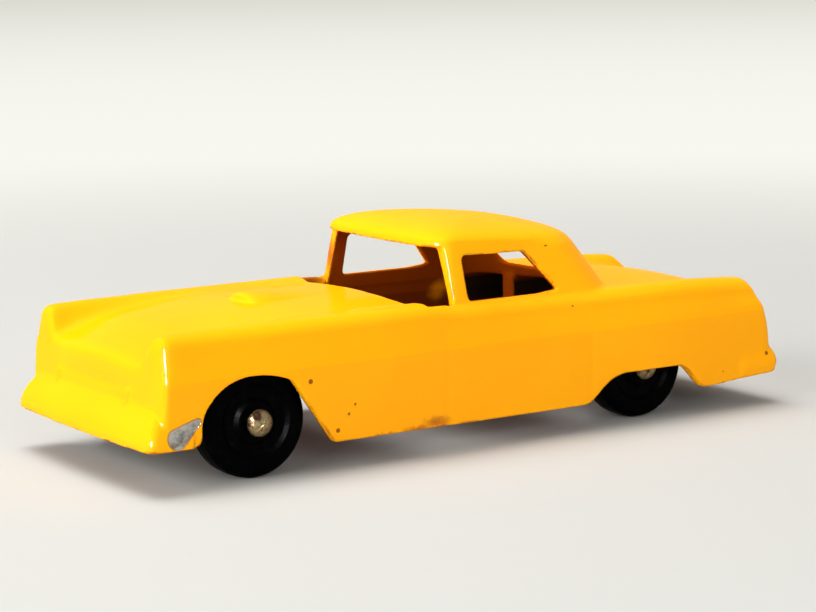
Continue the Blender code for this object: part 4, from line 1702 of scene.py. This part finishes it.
@dataclass(frozen=True)
class Finish:
    """What every finish has: a name, a way to start its material and masks for spots."""

    name: str

    @staticmethod
    def spots(graph: Graph, effects: Effects, place: Socket, chips: Sequence[Chip]) -> Socket:
        """One mask for several spots.

        Args:
            graph: The material's graph.
            effects: The shared node groups.
            place: The object's coordinates.
            chips: The spots.

        Returns:
            The mask.
        """
        mask: object = 0.0
        for chip in chips:
            shape = {"Centre": chip.centre, "Stretch": chip.stretch, "Radius": chip.radius}
            rim = {"Ragged": chip.ragged, "Soft": chip.soft}
            mask = graph.sum("MAXIMUM", graph.group(effects.spot, Vector=place, **shape, **rim), mask)
        return mask

    def start(self) -> tuple[bpy.types.Material, Graph, bpy.types.Node, Socket]:
        """A new material.

        Returns:
            The material, its graph, its shader and the object's coordinates.
        """
        made = bpy.data.materials.new(self.name)
        made.use_nodes = True
        graph = Graph(made.node_tree)
        shader = made.node_tree.nodes["Principled BSDF"]
        place = graph.node("ShaderNodeTexCoord").outputs["Object"]
        return made, graph, shader, place

    @staticmethod
    def relief(graph: Graph, shader: bpy.types.Node, height: Socket, depth: float) -> None:
        """Feeds a height into the shader's normal.

        Args:
            graph: The material's graph.
            shader: The material's shader.
            height: The height, from about 0 to 1.
            depth: How deep a height of 1 is.
        """
        bump = graph.node("ShaderNodeBump")
        bump.inputs["Strength"].default_value = 1.0
        bump.inputs["Distance"].default_value = depth
        graph.feed(bump.inputs["Height"], height)
        graph.feed(shader.inputs["Normal"], bump.outputs["Normal"])


@dataclass(frozen=True)
class Enamel(Finish):
    """Thick glossy yellow enamel on zinc, chipped at the edges, with staining on the sill, and painted
    shade and light inside and on a few spots.
    """

    name: str = "yellow_enamel"
    light_coat: Colour = (1.0, 0.405, 0.002)
    deep_coat: Colour = (0.97, 0.375, 0.002)
    # Dark thin paint along sharp edges; low along the arches this darkening also stands for painted shade,
    # and round the bare spot it paints the shadow of the paint's edge.
    thin_coat_and_shade: Colour = (0.42, 0.130, 0.006)
    # The yellow paint made darker on the inner faces: painted shade.
    shaded_inner_coat: Colour = (0.34, 0.052, 0.001)
    # Paler paint for one spot on the far inner wall: a painted pool of light.
    painted_light_coat: Colour = (1.0, 0.310, 0.001)
    # Near-black deep in the hollow: bare zinc, darkened further as painted shade.
    bare_zinc_and_hollow_shade: Colour = (0.030, 0.015, 0.006)
    zinc: Colour = (0.44, 0.42, 0.38)
    dark_zinc: Colour = (0.14, 0.125, 0.105)
    oxide: Colour = (0.30, 0.080, 0.008)
    # Brown for staining on the sill, and painted shade on the far pillar and far belt.
    stain_and_shade: Colour = (0.42, 0.095, 0.008)
    coat: float = 0.17
    clouds: Mottle = Mottle(55.0, 0.35, 0.65)
    thin_rim: Mottle = Mottle(420.0, 0.34, 0.60, 4.0, 0.6)
    worn_rim: Mottle = Mottle(420.0, 0.54, 0.66, 4.0, 0.6)
    flakes: Mottle = Mottle(140.0, 0.60, 0.66)
    tarnish: Mottle = Mottle(900.0, 0.35, 0.7, 4.0, 0.65)
    gloss: Mottle = Mottle(180.0, 0.3, 0.7, start=0.10, end=0.18)
    inside_range: Flat = (0.35, 0.65)
    thin_edge: Flat = (0.25, 0.8)
    worn_edge: Flat = (0.6, 1.0)
    thin_strength: float = 0.85
    stain_and_shade_strength: float = 0.85
    lip_shade_strength: float = 0.8
    bare_metallic: float = 0.85
    lost_rough: float = 0.24
    inner_rough: float = 0.15
    orange_peel: float = 0.35
    relief_depth: float = 0.00006
    flake_top: float = 0.0050
    flake_fade: float = 0.002
    # Inside, the lighter inner paint reaches this far and this high: partly overspray, partly painted light
    # through the windows; the rest is painted dark.
    spray_and_light_reach: Flat = (-0.0145, 0.0070)
    spray_and_light_foot: float = 0.0060
    spray_and_light_belt: float = 0.0134
    spray_and_light_fade: float = 0.0008
    chips: tuple[Chip, ...] = (
        Chip((0.02079, 0.01417, 0.00909), 0.00026),
        Chip((0.01578, 0.01409, 0.00631), 0.00014),
        Chip((0.01648, 0.01405, 0.00541), 0.00016),
        Chip((0.01768, 0.01393, 0.00392), 0.00024),
        Chip((-0.01091, 0.01341, 0.01318), 0.00012),
        Chip((-0.00939, 0.01081, 0.01923), 0.00016, (1.5, 1.0, 0.7)),
        Chip((-0.03680, 0.01390, 0.00560), 0.00026),
        Chip((-0.03069, 0.01383, 0.00424), 0.00010),
        Chip((0.00435, 0.00107, 0.02025), 0.00016),
    )
    patch_head: Chip = Chip((0.0352, 0.0142, 0.0053), 0.00108)
    patch_tip: Chip = Chip((0.0330, 0.0140, 0.0066), 0.00042)
    patch_steps: int = 7
    # Width of the dark rim round the bare spot, a painted shadow of the paint's thick edge.
    patch_shade_rim: float = 0.00012
    stains_and_shade_spots: tuple[Chip, ...] = (
        Chip((0.0062, 0.0139, 0.0033), 0.0012, (1.9, 1.0, 0.75), 0.0012, 0.9),
        Chip((0.0085, 0.0139, 0.0029), 0.0011, (2.0, 1.0, 0.50), 0.0012, 0.9),
        Chip((0.0125, 0.0139, 0.0028), 0.0009, (1.6, 1.0, 0.40), 0.0012, 0.9),
        # The next two spots are painted shade on the far pillar and on the far belt's inner face.
        Chip((0.0030, -0.0111, 0.0172), 0.0014, (1.0, 1.0, 2.2), 0.0004, 0.9),
        Chip((0.0050, -0.0122, 0.0143), 0.0016, (1.6, 0.6, 1.0), 0.0004, 0.9),
    )
    # The fronts of the rear posts take the lighter inner paint: partly overspray, partly painted light.
    sprayed_and_lit_posts: tuple[Chip, ...] = (
        Chip((-0.0174, -0.0070, 0.0115), 0.0022, (0.15, 1.0, 1.2), 0.0001, 0.3),
        Chip((-0.0174, 0.0070, 0.0115), 0.0022, (0.15, 1.0, 1.2), 0.0001, 0.3),
    )
    # A painted pool of light on the far inner wall.
    painted_light_spots: tuple[Chip, ...] = (
        Chip((-0.0120, -0.0128, 0.0117), 0.0017, (1.0, 2.0, 1.0), 0.0004, 0.8),
    )

    def patch(self, wider: float) -> list[Chip]:
        """The drop-shaped spot at the end of the bumper that is worn to bare metal."""
        shares = (step / self.patch_steps for step in range(self.patch_steps + 1))
        return [self.patch_head.toward(self.patch_tip, share, wider) for share in shares]

    def inner_colour_and_shade(self, graph: Graph, effects: Effects, place: Socket) -> Socket:
        """Colour inside the casting as painted shade: lighter paint where spray and the light through the
        windows reach, near-black beyond, and one painted pool of light.

        Args:
            graph: The material's graph.
            effects: The shared node groups.
            place: The object's coordinates.

        Returns:
            The colour.
        """
        x, z = graph.axis(place, "X"), graph.axis(place, "Z")
        rear, front = self.spray_and_light_reach
        ahead = graph.range(x, rear - self.spray_and_light_fade, rear)
        behind = graph.range(x, front, front + self.spray_and_light_fade, 1.0, 0.0)
        up = graph.range(z, self.spray_and_light_foot, self.spray_and_light_belt)
        through_windows = graph.sum("MULTIPLY", graph.sum("MULTIPLY", ahead, behind), up)
        over_belt = graph.range(z, self.spray_and_light_belt - self.spray_and_light_fade, self.spray_and_light_belt)
        sprayed_and_lit = graph.sum("MAXIMUM", through_windows, over_belt)
        sprayed_and_lit = graph.sum("MAXIMUM", sprayed_and_lit, self.spots(graph, effects, place, self.sprayed_and_lit_posts))
        # Lighter paint where spray and light reach, near-black as painted shade beyond, and a painted pool
        # of light.
        colour = graph.mix(sprayed_and_lit, self.bare_zinc_and_hollow_shade, self.shaded_inner_coat)
        return graph.mix(self.spots(graph, effects, place, self.painted_light_spots), colour, self.painted_light_coat)

    @staticmethod
    def along_edges(graph: Graph, place: Socket, limits: Flat, rim: Mottle) -> Socket:
        """A ragged mask along edges that are sharper than the limits say."""
        return graph.sum("MULTIPLY", graph.range(graph.mark("edge"), *limits), rim.build(graph, place))

    def paint(self, graph: Graph, effects: Effects, place: Socket, inside: Socket) -> Socket:
        """Colour of the paint: darker inside as painted shade, thin along the edges, with staining on the
        sill and painted shade on the far pillar and belt.

        Args:
            graph: The material's graph.
            effects: The shared node groups.
            place: The object's coordinates.
            inside: Mask of the inner faces.

        Returns:
            The colour.
        """
        colour = graph.mix(self.clouds.build(graph, place), self.light_coat, self.deep_coat)
        # Inner faces take the darker inner colour, as painted shade.
        colour = graph.mix(inside, colour, self.inner_colour_and_shade(graph, effects, place))
        thinned = self.along_edges(graph, place, self.thin_edge, self.thin_rim)
        colour = graph.mix(graph.sum("MULTIPLY", thinned, self.thin_strength), colour, self.thin_coat_and_shade)
        # Staining on the sill, and painted shade on the far pillar and belt.
        stained_and_shaded = self.spots(graph, effects, place, self.stains_and_shade_spots)
        return graph.mix(graph.sum("MULTIPLY", stained_and_shaded, self.stain_and_shade_strength), colour, self.stain_and_shade)

    def chipped(self, graph: Graph, effects: Effects, place: Socket) -> Socket:
        """Where the paint is chipped, speckled or worn through along an edge.

        Args:
            graph: The material's graph.
            effects: The shared node groups.
            place: The object's coordinates.

        Returns:
            The mask.
        """
        specks = graph.group(effects.specks, Vector=place, Scale=330.0, Share=0.05, Size=0.05)
        chips = graph.sum("MAXIMUM", self.spots(graph, effects, place, self.chips), specks)
        return graph.sum("MAXIMUM", chips, self.along_edges(graph, place, self.worn_edge, self.worn_rim))

    def bare(self, graph: Graph, effects: Effects, place: Socket, inside: Socket) -> Socket:
        """Where the metal is bare: the worn spot outside, and flakes low down inside.

        Args:
            graph: The material's graph.
            effects: The shared node groups.
            place: The object's coordinates.
            inside: Mask of the inner faces.

        Returns:
            The mask.
        """
        foot = self.flake_top
        low = graph.range(graph.axis(place, "Z"), foot, foot + self.flake_fade, 1.0, 0.0)
        flaked = graph.sum("MULTIPLY", graph.sum("MULTIPLY", inside, low), self.flakes.build(graph, place))
        return graph.sum("MAXIMUM", self.spots(graph, effects, place, self.patch(0.0)), flaked)

    def material(self, effects: Effects) -> bpy.types.Material:
        """Builds the material.

        Args:
            effects: The shared node groups.

        Returns:
            The material.
        """
        made, graph, shader, place = self.start()
        inside = graph.range(graph.mark("inside"), *self.inside_range)
        chipped = self.chipped(graph, effects, place)
        bare = self.bare(graph, effects, place, inside)
        colour = graph.mix(chipped, self.paint(graph, effects, place, inside), self.oxide)
        # A dark rim round the bare spot, painted as the shadow of the paint's edge.
        lip_shade = self.spots(graph, effects, place, self.patch(self.patch_shade_rim))
        colour = graph.mix(graph.sum("MULTIPLY", lip_shade, self.lip_shade_strength), colour, self.thin_coat_and_shade)
        metal = graph.mix(self.tarnish.build(graph, place), self.zinc, self.dark_zinc)
        graph.feed(shader.inputs["Base Color"], graph.mix(bare, colour, metal))
        graph.feed(shader.inputs["Metallic"], graph.sum("MULTIPLY", bare, self.bare_metallic))
        lost = graph.sum("MAXIMUM", chipped, bare)
        rough = self.gloss.build(graph, place)
        for mask, rougher in ((lost, self.lost_rough), (inside, self.inner_rough)):
            rough = graph.sum("ADD", rough, graph.sum("MULTIPLY", mask, rougher), held=True)
        graph.feed(shader.inputs["Roughness"], rough)
        shader.inputs["Coat Roughness"].default_value = 0.12
        covered = graph.sum("SUBTRACT", 1.0, graph.sum("MAXIMUM", lost, inside))
        graph.feed(shader.inputs["Coat Weight"], graph.sum("MULTIPLY", covered, self.coat))
        shader.inputs["Specular IOR Level"].default_value = 0.0
        ripple = graph.group(effects.grain, Vector=place, Scale=420.0, Fine=0.12)
        height = graph.sum("SUBTRACT", graph.sum("MULTIPLY", ripple, self.orange_peel), lost)
        self.relief(graph, shader, height, self.relief_depth)
        return made


@dataclass(frozen=True)
class AxleSteel(Finish):
    """Plain steel with peened heads, tarnish, a few rusty spots and a spot of painted shade on the rear
    head.
    """

    name: str = "axle_steel"
    bright: Colour = (0.34, 0.26, 0.135)
    dull: Colour = (0.15, 0.10, 0.045)
    rust_and_shade: Colour = (0.040, 0.013, 0.005)
    tarnish: Mottle = Mottle(1300.0, 0.4, 0.68, 5.0, 0.6)
    roughness: Mottle = Mottle(1300.0, 0.35, 0.75, 5.0, 0.6, 0.26, 0.55)
    rust_clouds: Mottle = Mottle(700.0, 0.60, 0.68, 4.0, 0.6)
    rust_and_shade_cover: float = 0.85
    relief_depth: float = 0.00008
    # Rusty spots on the front head, and a spot of painted shade on the rear head.
    rust_and_shade_spots: tuple[Chip, ...] = (
        Chip((0.02650, 0.0137, 0.00625), 0.00065, ragged=0.0012, soft=0.5),
        Chip((0.02690, 0.0134, 0.00570), 0.00055, ragged=0.0012, soft=0.5),
        Chip((0.02530, 0.0135, 0.00480), 0.00030, ragged=0.0012, soft=0.5),
        # Painted shade on the rear head.
        Chip((-0.0212, 0.0127, 0.00520), 0.00060, ragged=0.0016, soft=0.9),
    )

    def material(self, effects: Effects) -> bpy.types.Material:
        """Builds the material.

        Args:
            effects: The shared node groups.

        Returns:
            The material.
        """
        made, graph, shader, place = self.start()
        colour = graph.mix(self.tarnish.build(graph, place), self.bright, self.dull)
        rusted_and_shaded = self.rust_clouds.build(graph, place)
        # The spots add painted shade on the rear head as well as rusty patches.
        rusted_and_shaded = graph.sum("MAXIMUM", rusted_and_shaded, self.spots(graph, effects, place, self.rust_and_shade_spots))
        graph.feed(shader.inputs["Base Color"], graph.mix(rusted_and_shaded, colour, self.rust_and_shade))
        hidden = graph.sum("MULTIPLY", rusted_and_shaded, self.rust_and_shade_cover)
        graph.feed(shader.inputs["Metallic"], graph.sum("SUBTRACT", 1.0, hidden))
        graph.feed(shader.inputs["Roughness"], self.roughness.build(graph, place))
        shader.inputs["Specular IOR Level"].default_value = 0.10
        height = graph.group(effects.grain, Vector=place, Scale=1800.0, Fine=0.3)
        self.relief(graph, shader, height, self.relief_depth)
        return made


@dataclass(frozen=True)
class WheelBlack(Finish):
    """Satin black moulded wheel with a little dust in its dish."""

    name: str = "wheel_black"
    black: Colour = (0.0004, 0.0004, 0.00045)
    scuffed: Colour = (0.0013, 0.0012, 0.0011)
    dust: Colour = (0.005, 0.0045, 0.004)
    scuffs: Mottle = Mottle(900.0, 0.52, 0.75, 5.0, 0.65)
    settling: Mottle = Mottle(900.0, 0.45, 0.75, 5.0, 0.65, 0.0, 0.35)
    roughness: Mottle = Mottle(900.0, 0.3, 0.7, 5.0, 0.65, 0.30, 0.48)
    speck_strength: float = 0.5
    relief_depth: float = 0.00003

    def material(self, effects: Effects) -> bpy.types.Material:
        """Builds the material.

        Args:
            effects: The shared node groups.

        Returns:
            The material.
        """
        made, graph, shader, place = self.start()
        colour = graph.mix(self.scuffs.build(graph, place), self.black, self.scuffed)
        settled = graph.sum("MULTIPLY", graph.mark("dish"), self.settling.build(graph, place))
        specks = graph.group(effects.specks, Vector=place, Scale=1200.0, Share=0.06, Size=0.09)
        settled = graph.sum("MAXIMUM", settled, graph.sum("MULTIPLY", specks, self.speck_strength))
        graph.feed(shader.inputs["Base Color"], graph.mix(settled, colour, self.dust))
        graph.feed(shader.inputs["Roughness"], self.roughness.build(graph, place))
        shader.inputs["Specular IOR Level"].default_value = 0.012
        height = graph.group(effects.grain, Vector=place, Scale=1500.0, Fine=0.4)
        self.relief(graph, shader, height, self.relief_depth)
        return made


@dataclass(frozen=True)
class Paper(Finish):
    """Pale matt table that fades to a plain pale background."""

    name: str = "pale_table"
    colour: Colour = (0.48, 0.475, 0.45)
    middle_colour: Colour = (0.93, 0.93, 0.87)
    # The background fades to this darker colour far from the car, as painted shade.
    far_colour: Colour = (0.70, 0.70, 0.63)
    near: float = 0.06
    middle: float = 0.30
    far: float = 1.50
    fibre_scale: float = 240.0
    fibre_shade: float = 0.985

    def material(self) -> bpy.types.Material:
        """Builds the material.

        Returns:
            The material.
        """
        made, graph, shader, place = self.start()
        fibre = graph.noise(place, self.fibre_scale, 4.0).outputs["Fac"]
        shaded = tuple(self.fibre_shade * value for value in self.colour)
        graph.feed(shader.inputs["Base Color"], graph.mix(fibre, shaded, self.colour))
        shader.inputs["Roughness"].default_value = 0.9
        shader.inputs["Specular IOR Level"].default_value = 0.1
        length = graph.node("ShaderNodeVectorMath", operation="LENGTH")
        graph.feed(length.inputs[0], place)
        away = graph.range(length.outputs["Value"], self.near, self.middle)
        beyond = graph.range(length.outputs["Value"], self.middle, self.far)
        glow = graph.node("ShaderNodeEmission")
        graph.feed(glow.inputs["Color"], graph.mix(beyond, self.middle_colour, self.far_colour))
        join = graph.node("ShaderNodeMixShader")
        graph.feed(join.inputs[0], graph.sum("MULTIPLY", graph.seen(), away))
        graph.feed(join.inputs[1], shader.outputs[0])
        graph.feed(join.inputs[2], glow.outputs[0])
        graph.feed(made.node_tree.nodes["Material Output"].inputs["Surface"], join.outputs[0])
        return made


@dataclass(frozen=True)
class Lamp:
    """A soft square lamp aimed at the car."""

    name: str
    place: Point
    size: float
    level: float
    shine: bool = False

    def build(self, aim: Vector) -> bpy.types.Object:
        """Adds the lamp; level 1 lights a surface that faces it about as its colour is written.

        Args:
            aim: The place that it faces.

        Returns:
            The lamp, which shows only as a highlight where shine is set and else only as plain light.
        """
        bpy.ops.object.light_add(type="AREA", location=self.place)
        lamp = bpy.context.active_object
        lamp.name = self.name
        away = Vector(self.place) - aim
        lamp.data.size = self.size
        lamp.data.energy = self.level * (math.pi * away.length) ** 2
        lamp.rotation_euler = away.to_track_quat("Z", "Y").to_euler()
        lamp.visible_diffuse = not self.shine
        lamp.visible_glossy = self.shine
        return lamp


@dataclass(frozen=True)
class Studio:
    """The table, the light and the camera."""

    yaw: float = 33.2835
    pitch: float = 9.0649
    roll: float = -0.6702
    distance: float = 0.2576066
    aim: Point = (0.0003255, 0.0, 0.0125731)
    focal_pixels: float = 2477.77
    sensor: float = 36.0
    table_radius: float = 4.0
    table_points: int = 96
    clip_start: float = 0.01
    sky: float = 0.30
    sky_seen: float = 0.60
    sky_colour: Colour = (1.0, 1.0, 0.98)
    lamps: tuple[Lamp, ...] = (
        Lamp("overhead_softbox", (0.05, -0.08, 0.45), 0.30, 1.20),
        Lamp("front_softbox", (0.55, 0.0, 0.16), 0.40, 1.38),
        Lamp("side_fill", (0.10, 0.55, 0.12), 0.35, 0.53),
        Lamp("glint_lamp", (0.48, 0.31, 0.20), 0.16, 6.0, shine=True),
    )

    def build_table(self) -> bpy.types.Object:
        """The table, wide enough to fill the background.

        Returns:
            The table's mesh object.
        """
        bpy.ops.object.select_all(action="DESELECT")
        bpy.ops.mesh.primitive_circle_add(
            vertices=self.table_points, radius=self.table_radius, fill_type="NGON"
        )
        table = Bench.started("pale_table")
        table.data.materials.append(Paper().material())
        return table

    def build_sky(self) -> None:
        """An even pale surround that is brighter where the camera or a reflection sees it."""
        world = bpy.data.worlds.new("studio")
        bpy.context.scene.world = world
        world.use_nodes = True
        graph = Graph(world.node_tree)
        shader = world.node_tree.nodes["Background"]
        shader.inputs["Color"].default_value = (*self.sky_colour, 1.0)
        strength = graph.range(graph.seen(), 0.0, 1.0, self.sky, self.sky_seen)
        graph.feed(shader.inputs["Strength"], strength)

    def build_camera(self) -> bpy.types.Object:
        """The camera at the photograph's angle.

        Returns:
            The camera.
        """
        yaw, pitch, roll = (math.radians(angle) for angle in (self.yaw, self.pitch, self.roll))
        flat = math.cos(pitch)
        back = Vector((math.sin(yaw) * flat, math.cos(yaw) * flat, math.sin(pitch)))
        level = (-back).cross(Vector((0, 0, 1))).normalized()
        upright = level.cross(-back)
        right = math.cos(roll) * level + math.sin(roll) * upright
        up = math.cos(roll) * upright - math.sin(roll) * level
        bpy.ops.object.camera_add()
        camera = bpy.context.active_object
        camera.name = "camera"
        turn = Matrix((right, up, back)).transposed().to_4x4()
        camera.matrix_world = Matrix.Translation(Vector(self.aim) + back * self.distance) @ turn
        camera.data.sensor_width = self.sensor
        camera.data.lens = self.focal_pixels * self.sensor / IMAGE_WIDTH
        camera.data.clip_start = self.clip_start
        bpy.context.scene.camera = camera
        return camera

    def build(self) -> None:
        """Sets up everything round the car."""
        self.build_table()
        self.build_sky()
        for lamp in self.lamps:
            lamp.build(Vector(self.aim))
        self.build_camera()
        bpy.context.scene.view_settings.view_transform = "Standard"


def dress(piece: bpy.types.Object, finish: bpy.types.Material, body: str, node: str) -> None:
    """Gives a piece its finish and ties it to the frame.

    Args:
        piece: The finished piece.
        finish: Its material.
        body: The body that it rides on.
        node: The node that it stands for.
    """
    piece.data.materials.clear()
    piece.data.materials.append(finish)
    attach(piece, body)
    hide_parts(node)
    log.info("%s rides on %s, %d faces", piece.name, body, len(piece.data.polygons))


def corners(box: tuple[Vector, Vector]) -> list[list[float]]:
    """A box as plain lists of numbers."""
    return [list(corner) for corner in box]


def main() -> None:
    """Builds the car and its studio."""
    logging.basicConfig(level=logging.INFO, format="%(name)s: %(message)s")
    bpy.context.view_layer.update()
    effects = Effects()
    enamel = Enamel().material(effects)
    steel = AxleSteel().material(effects)
    black = WheelBlack().material(effects)
    axles = (AxleSet("front", 0.0259, 0.0140), AxleSet("rear", -0.0214, 0.0130))
    casting = Casting(LowerBody(), Cabin(), axles).build()
    dress(casting, enamel, "casting", "body_casting")
    for axle in axles:
        dress(axle.build_pin(), steel, "casting", f"{axle.end}_axle")
        for side_name, side in (("left", 1), ("right", -1)):
            wheel = axle.build_wheel(side_name, side)
            dress(wheel, black, f"{axle.end}_{side_name}", f"{axle.end}_{side_name}_wheel")
    Studio().build()


if __name__ == "__main__":
    main()
